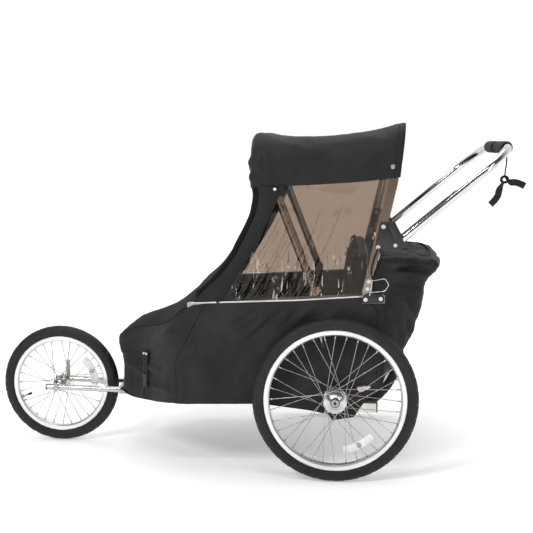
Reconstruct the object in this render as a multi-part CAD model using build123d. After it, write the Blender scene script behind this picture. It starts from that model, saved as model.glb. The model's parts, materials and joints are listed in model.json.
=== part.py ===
"""Child bicycle trailer in stroller form, as separate pieces in millimetres, +Z up.

The trailer travels towards -X, so its left side is -Y. Everything is drawn from the point on
the ground below the rear axle and is moved, when it is saved, to the centre of its footprint.
"""
import os
from math import cos, degrees, pi, radians, sin

from build123d import *

os.makedirs("parts", exist_ok=True)

# ---- driving dimensions -------------------------------------------------------------------
WHEELBASE = 913.5          # rear axle to front axle
TRACK_HALF = 366.5         # centre line to the middle of a rear wheel
TYRE = 20.0                # half the width of every tyre
REAR_BEAD = 203.0          # 20-inch (406) rim
FRONT_BEAD = 152.5         # 16-inch (305) rim
TUBE = 25.4                # frame tube, square or round
WALL = 1.6                 # frame tube wall
FABRIC = 2.7               # fabric thickness of the stand-in panels
RAIL_Y = 307.0             # centre of the side rails
POST_Y = 308.4             # centre of the hoop legs and handlebar legs
SKIN_Y = 320.0             # inner face of the side panels
TRUNK_HALF = 258.0         # half width of the trunk bag
HANDLE_ANGLE = 40.0        # handlebar above level
HANDLE_REACH = 436.0       # handlebar pivot to the middle of the crossbar
HANDLE_BEND = 130.0        # bend radius of the handlebar's corners
GRIP_R = 19.0              # foam grip
PIN_R = 4.0                # hinge pins
BOLT_R = 3.0               # frame bolts
FIT = 0.05                 # running clearance, on the radius
BORE_IN, BORE_OUT = 270.0, 340.0    # Y span that a drilled hole passes right through

REAR_R = REAR_BEAD + 2 * TYRE + 0.5
FRONT_R = FRONT_BEAD + 2 * TYRE + 0.5
HALF_TUBE = TUBE / 2
HANDLE_PIVOT = (170.0, 696.0)
REAR_PIVOT = (91.0, 568.0)
FRONT_PIVOT = (-62.5, 556.0)
REAR_POST_BEND = (163.0, 880.0)
REAR_POST_TOP = (176.0, 1028.0)
FRONT_POST_TOP = (-236.0, 998.0)
LOCK_PIN = (95.0, 590.0)
LOWER_Z = REAR_R           # lower rails carry the axle, so they are at its height
NOSE_ARM_Y = 62.0          # fork arms, from the centre line

front_reach = WHEELBASE + FRONT_R
rear_reach = HANDLE_PIVOT[0] + HANDLE_REACH * cos(radians(HANDLE_ANGLE)) + GRIP_R
SHIFT_X = (front_reach - rear_reach) / 2


SIDES = ((-1, "left"), (1, "right"))


# ---- helpers ------------------------------------------------------------------------------
def save(name, *solids):
    """Write one node. Several solids stay separate pieces of it."""
    pieces = []
    for solid in solids:
        pieces += (Pos(SHIFT_X, 0, 0) * solid).solids()
    shape = pieces[0] if len(pieces) == 1 else Compound(children=pieces)
    export_step(shape, f"parts/{name}.step")


def slab(outline, y_low, y_high):
    """A plate with an outline in X and Z, between two values of Y."""
    line = Polyline(*[(x, y_low, z) for x, z in outline], close=True)
    return extrude(make_face(line), amount=y_high - y_low, dir=(0, 1, 0))


def side_slab(outline, side, y_in, y_out):
    """The same plate on the left (side -1) or right (side +1)."""
    return slab(outline, min(side * y_in, side * y_out), max(side * y_in, side * y_out))


def rod(start, end, radius):
    """A round bar between two points."""
    plane = Plane(origin=start, z_dir=Vector(*end) - Vector(*start))
    return extrude(plane * Circle(radius), amount=(Vector(*end) - Vector(*start)).length)


def pipe(start, end, radius=HALF_TUBE, wall=WALL):
    """A straight round tube."""
    return rod(start, end, radius) - rod(start, end, radius - wall)


def box_tube(start, end, size=TUBE, wall=WALL):
    """A straight square tube with its faces square to Y."""
    direction = Vector(*end) - Vector(*start)
    plane = Plane(origin=start, x_dir=Vector(0, 1, 0), z_dir=direction)
    if abs(direction.X) < 1e-6 and abs(direction.Z) < 1e-6:
        plane = Plane(origin=start, x_dir=Vector(1, 0, 0), z_dir=direction)
    outer = extrude(plane * Rectangle(size, size), amount=direction.length)
    inner = extrude(plane * Rectangle(size - 2 * wall, size - 2 * wall), amount=direction.length)
    return outer - inner


def cross_rod(x, z, y_low, y_high, radius):
    """A round bar along Y."""
    return rod((x, y_low, z), (x, y_high, z), radius)


def side_rod(point, side, y_in, y_out, radius):
    """A round bar along Y on one side of the trailer."""
    return cross_rod(point[0], point[1], side * y_in, side * y_out, radius)


def turned(profile, centre):
    """Turn a profile of (y, radius) points about a wheel's axis through centre."""
    line = Polyline(*[(0, y, r) for y, r in profile], close=True)
    return Pos(*centre) * revolve(make_face(line), Axis.Y)


def swept_hoop(points, radii, section):
    """A bent tube: points in space, one bend radius for each inner point."""
    path = FilletPolyline(*points, radius=radii)
    plane = Plane(origin=path @ 0, x_dir=Vector(0, 1, 0), z_dir=path % 0)
    return sweep(plane * section, path=path)


# ---- wheels -------------------------------------------------------------------------------
def tyre_and_rim(prefix, centre, bead):
    """A C-shaped tyre on a box-walled rim."""
    middle = bead + TYRE + 0.5
    seat = bead + 6.0
    section = Pos(0, middle) * Circle(TYRE) - Pos(0, middle) * Circle(TYRE - 3)
    section -= Pos(0, seat / 2) * Rectangle(3 * TYRE, seat)
    save(f"{prefix}_tyre", Pos(*centre) * revolve(Plane.YZ * section, Axis.Y))
    outer = [(-13.6, seat), (-13.6, seat - 12), (-9, seat - 16), (9, seat - 16),
             (13.6, seat - 12), (13.6, seat)]
    inner = [(11.2, seat), (11.2, seat - 10.6), (7.8, seat - 13.5), (-7.8, seat - 13.5),
             (-11.2, seat - 10.6), (-11.2, seat)]
    save(f"{prefix}_rim", turned(outer + inner, centre))
    return seat - 16


def spokes(prefix, centre, count, rim_r, flange_y, flange_r):
    """Crossed spokes: leading ones inside each flange, trailing ones outside it."""
    spoke_r = 1.0
    cross = radians(58)
    solids = []
    for number in range(count):
        side = 1 if number % 2 else -1
        leading = number % 4 < 2
        rim_angle = 2 * pi * number / count
        hub_angle = rim_angle + (cross if leading else -cross)
        hub_y = flange_y - 2.4 if leading else flange_y + 5.4
        start = (flange_r * cos(hub_angle), side * hub_y, flange_r * sin(hub_angle))
        end = ((rim_r - 0.5) * cos(rim_angle), side * 3.0, (rim_r - 0.5) * sin(rim_angle))
        solids.append(Pos(*centre) * rod(start, end, spoke_r))
    save(f"{prefix}_spokes", *solids)


def hub(prefix, centre, half_length, bore, core, flange_y, flange_r):
    """A turned hub shell with two flanges and a through bore."""
    half = [(flange_y - 4, core), (flange_y, flange_r), (flange_y + 3, flange_r),
            (flange_y + 4, core), (half_length, core - 3)]
    profile = [(-y, r) for y, r in reversed(half)] + half
    profile += [(half_length, bore), (-half_length, bore)]
    save(f"{prefix}_hub", turned(profile, centre))


REFLECTOR_LENGTH = 98.0
REFLECTOR_WIDTH = 24.0
REFLECTOR_THICK = 5.0


def reflector(prefix, centre, radius, angle):
    """A clear curved plate that stands between the two fans of spokes."""
    inner = radius - REFLECTOR_WIDTH / 2
    outer = radius + REFLECTOR_WIDTH / 2
    half = degrees(REFLECTOR_LENGTH / 2 / radius)

    def at(r, turn):
        return Vector(r * cos(radians(angle + turn)), 0, r * sin(radians(angle + turn)))

    lines = [ThreePointArc(at(inner, -half), at(inner, 0), at(inner, half)),
             ThreePointArc(at(outer, -half), at(outer, 0), at(outer, half)),
             Line(at(inner, -half), at(outer, -half)), Line(at(inner, half), at(outer, half))]
    plate = extrude(make_face(lines), amount=REFLECTOR_THICK, dir=(0, 1, 0))
    plate = fillet(plate.edges().filter_by(Axis.Y), 5)
    save(f"{prefix}_reflector", Pos(*centre) * Pos(0, -REFLECTOR_THICK / 2, 0) * plate)


for side, name in SIDES:
    middle = (0, side * TRACK_HALF, REAR_R)
    inner_rim = tyre_and_rim(f"wheel_{name}", middle, REAR_BEAD)
    spokes(f"wheel_{name}", middle, 36, inner_rim, 22, 30)
    hub(f"wheel_{name}", middle, 32, 6.35 + FIT, 15, 22, 34)
    reflector(f"wheel_{name}", middle, 151, -62)

front_middle = (-WHEELBASE, 0, FRONT_R)
inner_rim = tyre_and_rim("front_wheel", front_middle, FRONT_BEAD)
spokes("front_wheel", front_middle, 28, inner_rim, 28, 19)
hub("front_wheel", front_middle, 50, 4.5 + FIT, 11, 28, 22)
reflector("front_wheel", front_middle, 112, 22)


# ---- frame --------------------------------------------------------------------------------
RAIL_FRONT = (-440.0, 505.0)
RAIL_REAR = (140.0, 539.5)
LOWER_FRONT = -440.0
LOWER_REAR = 50.0
INNER_RAIL = RAIL_Y - HALF_TUBE


def rail_z(x):
    """Height of the middle of the side rail."""
    slope = (RAIL_REAR[1] - RAIL_FRONT[1]) / (RAIL_REAR[0] - RAIL_FRONT[0])
    return RAIL_FRONT[1] + slope * (x - RAIL_FRONT[0])


FOLD_BOLTS = ((86.0, rail_z(86)), (130.0, rail_z(130)))
FRONT_BRACKET_BOLT = (-62.5, rail_z(-62.5))

upper = []
lower = []
receivers = []
axles = []
AXLE_R = 6.35
BUSH_R = 10.0
for side, name in SIDES:
    rail = box_tube((RAIL_FRONT[0], side * RAIL_Y, RAIL_FRONT[1]),
                    (RAIL_REAR[0], side * RAIL_Y, RAIL_REAR[1]))
    for point in FOLD_BOLTS + (FRONT_BRACKET_BOLT,):
        rail -= side_rod(point, side, BORE_IN, BORE_OUT, BOLT_R + FIT)
    upper.append(rail)
    rail = box_tube((LOWER_FRONT, side * RAIL_Y, LOWER_Z), (LOWER_REAR, side * RAIL_Y, LOWER_Z))
    lower.append(rail - side_rod((0, LOWER_Z), side, BORE_IN, BORE_OUT, BUSH_R + FIT))
    bush = side_rod((0, LOWER_Z), side, 286, 330, BUSH_R)
    bush += side_rod((0, LOWER_Z), side, 324, 330, 15)
    receivers.append(bush - side_rod((0, LOWER_Z), side, BORE_IN, BORE_OUT, AXLE_R + FIT))
    axle = side_rod((0, LOWER_Z), side, 284, 406, AXLE_R)
    axle += side_rod((0, LOWER_Z), side, 399, 406, 10)
    axles.append(axle - side_rod((0, LOWER_Z), side, 395, 410, 4.5 + FIT))
    save(f"axle_button_{name}", side_rod((0, LOWER_Z), side, 399, 409.5, 4.5))
save("side_rails", *upper)
save("lower_rails", *lower)
save("axle_receivers", *receivers)
save("wheel_axles", *axles)

UPPER_CROSS = (108.0, rail_z(108))
REAR_CROSS = (25.0, LOWER_Z)
FRONT_CROSS = (-425.0, LOWER_Z)
SEAT_CROSS = (-205.0, LOWER_Z)
UPRIGHT_R = 9.5
crosses = []
for x, z in (UPPER_CROSS, REAR_CROSS, FRONT_CROSS, SEAT_CROSS):
    crosses.append(pipe((x, -INNER_RAIL + 6, z), (x, INNER_RAIL - 6, z)))
for side, name in SIDES:
    foot = LOWER_Z + HALF_TUBE + 1.2
    front_top = (-410.0, rail_z(-410) - HALF_TUBE - 1.5)
    rear_top = (50.0, rail_z(50) - HALF_TUBE - 1.5)
    y = side * RAIL_Y
    crosses.append(pipe((-405, y, foot), (front_top[0], y, front_top[1]), UPRIGHT_R))
    crosses.append(pipe((30, y, foot), (rear_top[0], y, rear_top[1]), UPRIGHT_R))
save("frame_struts", *crosses)

# The nose frame runs in from the lower rails to the two sleeves that hold the fork arms.
NOSE_PLATE_Z = 202.0
ARM_AXLE_Z = FRONT_R
ARM_REAR = (-610.0, 186.0)
ARM_FRONT = (-WHEELBASE - 32, ARM_AXLE_Z + 0.7)
SLEEVE = (-704.0, -620.0)


def arm_z(x):
    """Height of the middle of a fork arm."""
    slope = (ARM_AXLE_Z - ARM_REAR[1]) / (-WHEELBASE - ARM_REAR[0])
    return ARM_REAR[1] + slope * (x - ARM_REAR[0])


ARM_R = 9.5
arms = []
sleeves = []
nose_tubes = []
for side, name in SIDES:
    y = side * NOSE_ARM_Y
    arm = pipe((ARM_REAR[0], y, arm_z(ARM_REAR[0])), (ARM_FRONT[0], y, arm_z(ARM_FRONT[0])), ARM_R)
    arm += cross_rod(-WHEELBASE, ARM_AXLE_Z, y - ARM_R, y + ARM_R, 7.5)
    arms.append(arm - cross_rod(-WHEELBASE, ARM_AXLE_Z, y - 20, y + 20, 4.5 + FIT))
    ends = [(x, y, arm_z(x)) for x in SLEEVE]
    sleeves.append(rod(*ends, ARM_R + 4) - rod(*ends, ARM_R + FIT))
    nose_tubes.append(pipe((-455, side * (RAIL_Y - 12), LOWER_Z), (-640, side * 60, 226)))
plate_half = NOSE_ARM_Y + 26
nose_plate = Pos((SLEEVE[0] + SLEEVE[1]) / 2, 0, NOSE_PLATE_Z + 2) * Box(76, 2 * plate_half, 3)
save("fork_arms", *arms)
save("fork_sleeves", nose_plate, *sleeves)
save("nose_frame", *nose_tubes)

axle_end = NOSE_ARM_Y + ARM_R
skewer = cross_rod(-WHEELBASE, ARM_AXLE_Z, -axle_end - 10, axle_end + 5, 4.5)
skewer += cross_rod(-WHEELBASE, ARM_AXLE_Z, -axle_end - 10, -axle_end - 0.5, 10)
skewer += cross_rod(-WHEELBASE, ARM_AXLE_Z, axle_end + 0.5, axle_end + 5, 9)
save("front_axle", skewer)

# The quick-release lever stands up outside the right arm and swings outwards.
LEVER_Y = axle_end + 12
lever = rod((-WHEELBASE - 7, LEVER_Y, ARM_AXLE_Z), (-WHEELBASE + 7, LEVER_Y, ARM_AXLE_Z), 6.4)
blade = Pos(-WHEELBASE, LEVER_Y + 1, ARM_AXLE_Z + 32) * Box(12, 5, 56)
lever += fillet(blade.edges().filter_by(Axis.Y), 4)
save("quick_release_lever", lever)

# The receiver for the towing arm hangs from a saddle below the rear cross tube, on the left.
TOW_Y = -250.0
TOW_SIZE = 28.0
TOW_Z = 195.0
TOW_FRONT = 2.0
TOW_REAR = 124.0
tow_top = TOW_Z + TOW_SIZE / 2
saddle_height = LOWER_Z - tow_top
saddle = Pos(REAR_CROSS[0], TOW_Y, tow_top + saddle_height / 2) * Box(36, 22, saddle_height)
saddle -= cross_rod(*REAR_CROSS, TOW_Y - 30, TOW_Y + 30, HALF_TUBE + FIT)
receiver = box_tube((TOW_FRONT, TOW_Y, TOW_Z), (TOW_REAR, TOW_Y, TOW_Z), TOW_SIZE, 2)
save("tow_receiver", receiver + saddle)
cap = Pos(TOW_REAR + 2, TOW_Y, TOW_Z) * Box(4, TOW_SIZE, TOW_SIZE)
cap += Pos(TOW_REAR - 6, TOW_Y, TOW_Z) * Box(12, TOW_SIZE - 4.2, TOW_SIZE - 4.2)
save("tow_receiver_cap", cap)

# ---- folding hoops and their brackets -----------------------------------------------------
GAP_IN = RAIL_Y - HALF_TUBE - 0.5       # the bracket plates stand each side of rail and post
GAP_OUT = SKIN_Y + FABRIC + 0.3
PLATE = 5.0
FOLD_OUTLINE = ((78, 524), (142, 526), (142, 549), (104, 556), (106, 590), (102, 599),
                (95, 602), (88, 599), (83, 590), (78, 566))
FRONT_OUTLINE = ((-82, 506), (-43, 506), (-48, 566), (-56, 572), (-69, 572), (-77, 566))
HANDLE_OUTLINE = ((112, 691), (128, 764), (170, 761), (188, 727), (196, 703), (190, 680),
                  (178, 673), (134, 676))
BRACKET_BOLTS = ((135.0, 750.0), (120.5, 690.0))
SLOT_R = 22.0
SLOT_LOW = 2.0
SLOT_HIGH = 78.0


def bolt(point, side, head=6.0):
    """A button-head bolt right through both plates of a bracket."""
    body = side_rod(point, side, GAP_IN - PLATE - 4, GAP_OUT + PLATE + 0.4, BOLT_R)
    body += side_rod(point, side, GAP_OUT + PLATE + 0.3, GAP_OUT + PLATE + 4, head)
    return body + side_rod(point, side, GAP_IN - PLATE - 4, GAP_IN - PLATE - 0.3, head)


def pivot(point, side):
    """A hinge pin with heads, like a bolt but thicker."""
    body = side_rod(point, side, GAP_IN - PLATE - 4, GAP_OUT + PLATE + 0.4, PIN_R)
    body += side_rod(point, side, GAP_OUT + PLATE + 0.3, GAP_OUT + PLATE + 3.6, 5.6)
    return body + side_rod(point, side, GAP_IN - PLATE - 4, GAP_IN - PLATE - 0.3, 6)


fold_plates = []
frame_bolts = []
for side, name in SIDES:
    inner = side_slab(FOLD_OUTLINE, side, GAP_IN - PLATE, GAP_IN)
    outer = side_slab(FOLD_OUTLINE, side, GAP_OUT, GAP_OUT + PLATE)
    for hole in FOLD_BOLTS:
        inner -= side_rod(hole, side, BORE_IN, BORE_OUT, BOLT_R + FIT)
        outer -= side_rod(hole, side, BORE_IN, BORE_OUT, BOLT_R + FIT)
        frame_bolts.append(bolt(hole, side))
    inner -= side_rod(REAR_PIVOT, side, BORE_IN, BORE_OUT, PIN_R + FIT)
    outer -= side_rod(REAR_PIVOT, side, BORE_IN, BORE_OUT, PIN_R + FIT)
    outer -= side_rod(LOCK_PIN, side, BORE_IN, BORE_OUT, PIN_R + FIT)
    fold_plates += [inner, outer]
    frame_bolts.append(pivot(REAR_PIVOT, side))
    plate = side_slab(FRONT_OUTLINE, side, GAP_IN - PLATE, GAP_IN)
    plate -= side_rod(FRONT_PIVOT, side, BORE_IN, BORE_OUT, PIN_R + FIT)
    plate -= side_rod(FRONT_BRACKET_BOLT, side, BORE_IN, BORE_OUT, BOLT_R + FIT)
    fold_plates.append(plate)
    head = side_rod(FRONT_PIVOT, side, GAP_IN - PLATE - 4, GAP_IN - PLATE - 0.3, 6)
    frame_bolts.append(head + side_rod(FRONT_PIVOT, side, GAP_IN - PLATE - 4, 321, PIN_R))
    head = side_rod(FRONT_BRACKET_BOLT, side, GAP_IN - PLATE - 4, GAP_IN - PLATE - 0.3, 6)
    frame_bolts.append(head + side_rod(FRONT_BRACKET_BOLT, side, GAP_IN - PLATE - 4, 319, BOLT_R))
save("fold_brackets", *fold_plates)
save("frame_bolts", *frame_bolts)


def leg_points(profile):
    """Mirror an (x, z) leg profile into a U-shaped path from left foot to right foot."""
    left = [(x, -POST_Y, z) for x, z in profile]
    return left + [(x, POST_Y, z) for x, z in reversed(profile)]


HOOP_BEND = 70.0
rear_profile = (REAR_PIVOT, REAR_POST_BEND, REAR_POST_TOP)
rear_path = leg_points(rear_profile)
rear_radii = (200, HOOP_BEND, HOOP_BEND, 200)
rear_hoop = swept_hoop(rear_path, rear_radii, Rectangle(TUBE, TUBE))
rear_hoop -= swept_hoop(rear_path, rear_radii, Rectangle(TUBE - 2 * WALL, TUBE - 2 * WALL))
front_path = leg_points((FRONT_PIVOT, FRONT_POST_TOP))
front_hoop = swept_hoop(front_path, (HOOP_BEND, HOOP_BEND), Circle(HALF_TUBE))
front_hoop -= swept_hoop(front_path, (HOOP_BEND, HOOP_BEND), Circle(HALF_TUBE - WALL))
for side, name in SIDES:
    rear_hoop += side_rod(REAR_PIVOT, side, POST_Y - HALF_TUBE, POST_Y + HALF_TUBE, HALF_TUBE)
    rear_hoop -= side_rod(REAR_PIVOT, side, BORE_IN, BORE_OUT, PIN_R + FIT)
    front_hoop += side_rod(FRONT_PIVOT, side, POST_Y - HALF_TUBE, POST_Y + HALF_TUBE, HALF_TUBE)
    front_hoop -= side_rod(FRONT_PIVOT, side, BORE_IN, BORE_OUT, PIN_R + FIT)
    for hole in BRACKET_BOLTS:
        rear_hoop -= side_rod(hole, side, BORE_IN, BORE_OUT, BOLT_R + FIT)
save("rear_hoop", rear_hoop)
save("front_hoop", front_hoop)


def slot_outline():
    """The curved slot that the handlebar's lock pin runs in, as arcs about the pivot."""
    def at(radius, angle):
        x = HANDLE_PIVOT[0] + radius * cos(radians(angle))
        return Vector(x, 0, HANDLE_PIVOT[1] + radius * sin(radians(angle)))
    half = BOLT_R + 0.3
    middle = (SLOT_LOW + SLOT_HIGH) / 2
    lines = []
    for radius in (SLOT_R - half, SLOT_R + half):
        lines.append(ThreePointArc(at(radius, SLOT_LOW), at(radius, middle), at(radius, SLOT_HIGH)))
    lines.append(Line(at(SLOT_R - half, SLOT_LOW), at(SLOT_R + half, SLOT_LOW)))
    lines.append(Line(at(SLOT_R - half, SLOT_HIGH), at(SLOT_R + half, SLOT_HIGH)))
    return make_face(lines)


handle_plates = []
bracket_bolts = []
for side, name in SIDES:
    inner = side_slab(HANDLE_OUTLINE, side, GAP_IN - PLATE, GAP_IN)
    outer = side_slab(HANDLE_OUTLINE, side, GAP_OUT, GAP_OUT + PLATE)
    for hole in BRACKET_BOLTS:
        inner -= side_rod(hole, side, BORE_IN, BORE_OUT, BOLT_R + FIT)
        outer -= side_rod(hole, side, BORE_IN, BORE_OUT, BOLT_R + FIT)
        bracket_bolts.append(bolt(hole, side, 6.4))
    inner -= side_rod(HANDLE_PIVOT, side, BORE_IN, BORE_OUT, PIN_R + FIT)
    outer -= side_rod(HANDLE_PIVOT, side, BORE_IN, BORE_OUT, PIN_R + FIT)
    outer -= side_rod((164, 750), side, BORE_IN, BORE_OUT, 4)
    slot = extrude(slot_outline(), amount=60, dir=(0, 1, 0))
    inner -= Pos(0, side * GAP_IN - 30, 0) * slot
    handle_plates += [inner, outer]
    bracket_bolts.append(pivot(HANDLE_PIVOT, side))
save("handle_brackets", *handle_plates)
save("bracket_bolts", *bracket_bolts)

# ---- fold lock pins, with their wire loops -------------------------------------------------
PIN_FACE = GAP_OUT + PLATE
for side, name in SIDES:
    pin = side_rod(LOCK_PIN, side, GAP_OUT - 1, PIN_FACE + 6, PIN_R)
    pin += side_rod(LOCK_PIN, side, PIN_FACE + 1, PIN_FACE + 6, 6)
    loop_y = side * (PIN_FACE + 3.5)
    corners = [(103, loop_y, 592), (142, loop_y, 599), (153, loop_y, 582), (142, loop_y, 562),
               (101, loop_y, 558)]
    wire = FilletPolyline(*corners, radius=(10, 9, 10))
    pin += sweep(Plane(origin=wire @ 0, z_dir=wire % 0) * Circle(1.6), path=wire)
    pin += rod((95, loop_y, 590), (104, loop_y, 592), 1.6)
    pin += rod((104.5, loop_y, 596), (97.5, loop_y, 548), 1.9)
    save(f"lock_pin_{name}", pin)

# ---- handlebar ----------------------------------------------------------------------------
TILT = radians(HANDLE_ANGLE)
BAR_X = HANDLE_PIVOT[0] + HANDLE_REACH * cos(TILT)
BAR_Z = HANDLE_PIVOT[1] + HANDLE_REACH * sin(TILT)
GRIP_IN = 30.0
GRIP_OUT = POST_Y - HANDLE_BEND - 4
bar_path = leg_points((HANDLE_PIVOT, (BAR_X, BAR_Z)))
bar = swept_hoop(bar_path, (HANDLE_BEND, HANDLE_BEND), Circle(HALF_TUBE))
bar -= swept_hoop(bar_path, (HANDLE_BEND, HANDLE_BEND), Circle(HALF_TUBE - WALL))
lock_at = (HANDLE_PIVOT[0] + SLOT_R * cos(TILT), HANDLE_PIVOT[1] + SLOT_R * sin(TILT))
grips = []
for side, name in SIDES:
    bar += side_rod(HANDLE_PIVOT, side, POST_Y - HALF_TUBE, POST_Y + HALF_TUBE, HALF_TUBE)
    bar -= side_rod(HANDLE_PIVOT, side, BORE_IN, BORE_OUT, PIN_R + FIT)
    bar -= side_rod(lock_at, side, 270, 305, BOLT_R + FIT)
    grip = cross_rod(BAR_X, BAR_Z, side * GRIP_IN, side * GRIP_OUT, GRIP_R)
    grip = fillet(grip.edges().filter_by(GeomType.CIRCLE), 4)
    grips.append(grip - cross_rod(BAR_X, BAR_Z, side * 20, side * 190, HALF_TUBE + FIT))
    plunger = side_rod(lock_at, side, GAP_IN - PLATE - 16, POST_Y - 8, BOLT_R)
    knob = side_rod(lock_at, side, GAP_IN - PLATE - 20, GAP_IN - PLATE - 5, 7.5)
    save(f"handle_lock_{name}", plunger + knob)
save("handlebar", bar)
save("grips", *grips)

# The wrist strap hangs from the left end of the crossbar, knotted into two tails.
STRAP_Y = -(GRIP_OUT + 7)
STRAP_R = 3.0
STRAP_ROUTE = ((BAR_X, STRAP_Y, BAR_Z - HALF_TUBE - 4), (BAR_X + 1, STRAP_Y, 930),
               (BAR_X - 3, STRAP_Y, 906), (BAR_X - 4, STRAP_Y, 886), (BAR_X + 12, STRAP_Y, 872),
               (BAR_X + 34, STRAP_Y, 874), (BAR_X + 56, STRAP_Y, 862))
TAIL_ROUTE = ((BAR_X - 8, STRAP_Y, 872), (BAR_X - 20, STRAP_Y, 852), (BAR_X - 22, STRAP_Y, 828),
              (BAR_X - 44, STRAP_Y, 806))


def limp_run(route, radius):
    """A flexible run: straight stretches with each bend as large as they allow."""
    bends = []
    for before, here, after in zip(route, route[1:], route[2:]):
        first = Vector(*here) - Vector(*before)
        second = Vector(*after) - Vector(*here)
        half_turn = radians(first.get_angle(second)) / 2
        bends.append(0.45 * min(first.length, second.length) * cos(half_turn) / sin(half_turn))
    print("strap bend radii, mm:", [round(value, 1) for value in bends])
    path = FilletPolyline(*route, radius=bends)
    return sweep(Plane(origin=path @ 0, z_dir=path % 0) * Circle(radius), path=path)


strap_loop = cross_rod(BAR_X, BAR_Z, STRAP_Y - 5, STRAP_Y + 5, HALF_TUBE + 3)
strap_loop -= cross_rod(BAR_X, BAR_Z, STRAP_Y - 9, STRAP_Y + 9, HALF_TUBE + 0.6)
save("wrist_strap", strap_loop, limp_run(STRAP_ROUTE, STRAP_R))
save("wrist_strap_tail", limp_run(TAIL_ROUTE, STRAP_R))

# ---- fabric body --------------------------------------------------------------------------
BELLY = ((-470, 212), (-405, 213), (-250, 216), (-60, 180), (-6, 168), (56, 183), (87, 232),
         (126, 261), (142, 278))
PANEL_TOP = ((142, 524), (72, 541), (-106, 529), (-283, 522), (-470, 516))
for side, name in SIDES:
    panel = side_slab(BELLY + PANEL_TOP, side, SKIN_Y, SKIN_Y + FABRIC)
    for hole in FOLD_BOLTS:
        panel -= side_rod(hole, side, BORE_IN, BORE_OUT, BOLT_R + 0.3)
    save(f"side_panel_{name}", panel - side_rod((0, LOWER_Z), side, BORE_IN, BORE_OUT, 22))

belly_top = [(x, z + FABRIC) for x, z in reversed(BELLY)]
belly = slab(BELLY + tuple(belly_top), -SKIN_Y + 0.3, SKIN_Y - 0.3)
belly -= Pos(60, TOW_Y, TOW_Z) * Box(120, TOW_SIZE + 3, TOW_SIZE + 12)
save("belly_panel", belly)

save("floor_board", Pos(-315, 0, 261) * Box(200, 560, 4))

NOSE_TOP = ((-470, 515), (-500, 464), (-560, 442), (-640, 423), (-688, 392))
NOSE_FRONT = ((-694, 350), (-683, 325), (-678, 206))
NOSE_JOIN = 322.7          # half width where the nose meets the side panels
NOSE_PLAN = ((-470, NOSE_JOIN), (-482, 318), (-530, 244), (-600, 156), (-680, 147), (-694, 130))
nose_side = NOSE_TOP + NOSE_FRONT + ((-470, 212),)
nose_plan = NOSE_PLAN + tuple((x, -y) for x, y in reversed(NOSE_PLAN))


def nose_block(inset):
    """The nose as its side outline where that meets its plan, both drawn in by inset."""
    if inset:
        ends = -470 + 4 * inset
        side = [(x + inset, z - inset) for x, z in NOSE_TOP]
        side += [(x + inset, z) for x, z in NOSE_FRONT[:-1]]
        side += [(NOSE_FRONT[-1][0] + inset, NOSE_FRONT[-1][1] + inset), (ends, 212 + inset)]
        side.append((ends, 515 - inset))
        plan = [(x + inset, y - inset) for x, y in NOSE_PLAN]
        plan = [(ends, NOSE_JOIN - inset)] + plan
        plan += [(x, -y) for x, y in reversed(plan)]
    else:
        side = nose_side
        plan = nose_plan
    block = slab(side, -340, 340)
    return block & extrude(make_face(Polyline(*plan, close=True)), amount=700)


save("nose_panel", nose_block(0) - nose_block(FABRIC))

PIPING_Y = SKIN_Y + 2.6
piping = []
for side, name in SIDES:
    beads = [(68, 543.6), (-106, 531.6), (-283, 524.6), (-427, 519.9)]
    path = FilletPolyline(*[(x, side * PIPING_Y, z) for x, z in beads], radius=400)
    piping.append(sweep(Plane(origin=path @ 0, z_dir=path % 0) * Circle(2.2), path=path))
save("piping", *piping)

# ---- seat, harness and trunk --------------------------------------------------------------
SEAT_HALF = 272.0
seat = Pos(-100, 0, 286) * Box(226, 2 * SEAT_HALF, 34)
save("seat_cushion", fillet(seat.edges().filter_by(Axis.Y), 12))
back = slab(((16, 306), (60, 683), (92, 683), (48, 306)), -SEAT_HALF, SEAT_HALF)
save("seat_back", fillet(back.edges().filter_by(Axis.Y), 10))

straps = []
for centre in (-136, 136):
    for offset in (-58, 58):
        y = centre + offset
        line = ((54.4, 645), (17.8, 332), (14.8, 332), (51.4, 645))
        straps.append(slab(line, y - 12.5, y + 12.5))
save("harness_straps", *straps)
buckles = []
for centre in (-136, 136):
    block = Box(14, 46, 52)
    block = fillet(block.edges().filter_by(Axis.X), 8)
    buckles.append(Pos(12, centre, 400) * Rot(0, 6.6, 0) * block)
save("harness_buckles", *buckles)

TRUNK_BACK = ((150, 292), (177, 325), (204, 378), (232, 427), (254, 499), (265, 571), (276, 589),
              (291, 605), (301, 622), (298, 636), (286, 642))
trunk_outer = TRUNK_BACK + ((199, 645), (150, 643))
trunk = slab(trunk_outer, -TRUNK_HALF, TRUNK_HALF)
inner_back = [(x - 3.4, z + 2) for x, z in TRUNK_BACK]
inner_back = [(153.4, 299)] + inner_back[1:] + [(292, 800), (153.4, 800)]
trunk -= slab(inner_back, -TRUNK_HALF + FABRIC, TRUNK_HALF - FABRIC)
save("trunk_bag", trunk)

lid_top = ((152, 654), (200, 655), (262, 653), (292, 648), (304, 635))
lid_under = ((301, 634), (290, 645.5), (261, 649.8), (200, 651.8), (152, 650.8))
save("trunk_lid", slab(lid_top + lid_under, -TRUNK_HALF, TRUNK_HALF))

# ---- canopy, windows and front cover, as plain closed sheets ------------------------------
CANOPY_IN = 322.0
CANOPY_OUT = 325.0
CANOPY_TRIM = ((-262, 858), (-176, 858), (187, 891), (193, 1060), (-262, 1060))
CANOPY_SLOPE = 31 / 452


def canopy_block(half, top_drop, corner):
    """A long inverted trough that rises to the rear, with rounded upper corners."""
    x_low = -262.0
    height = 300
    top = 1017 - top_drop
    profile = Rectangle(2 * half, height)
    profile = fillet(profile.vertices().sort_by(Axis.Y)[-2:], corner)
    plane = Plane(origin=(x_low, 0, top - height / 2), x_dir=(0, 1, 0), z_dir=(1, 0, CANOPY_SLOPE))
    return extrude(plane * profile, amount=470)


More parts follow.
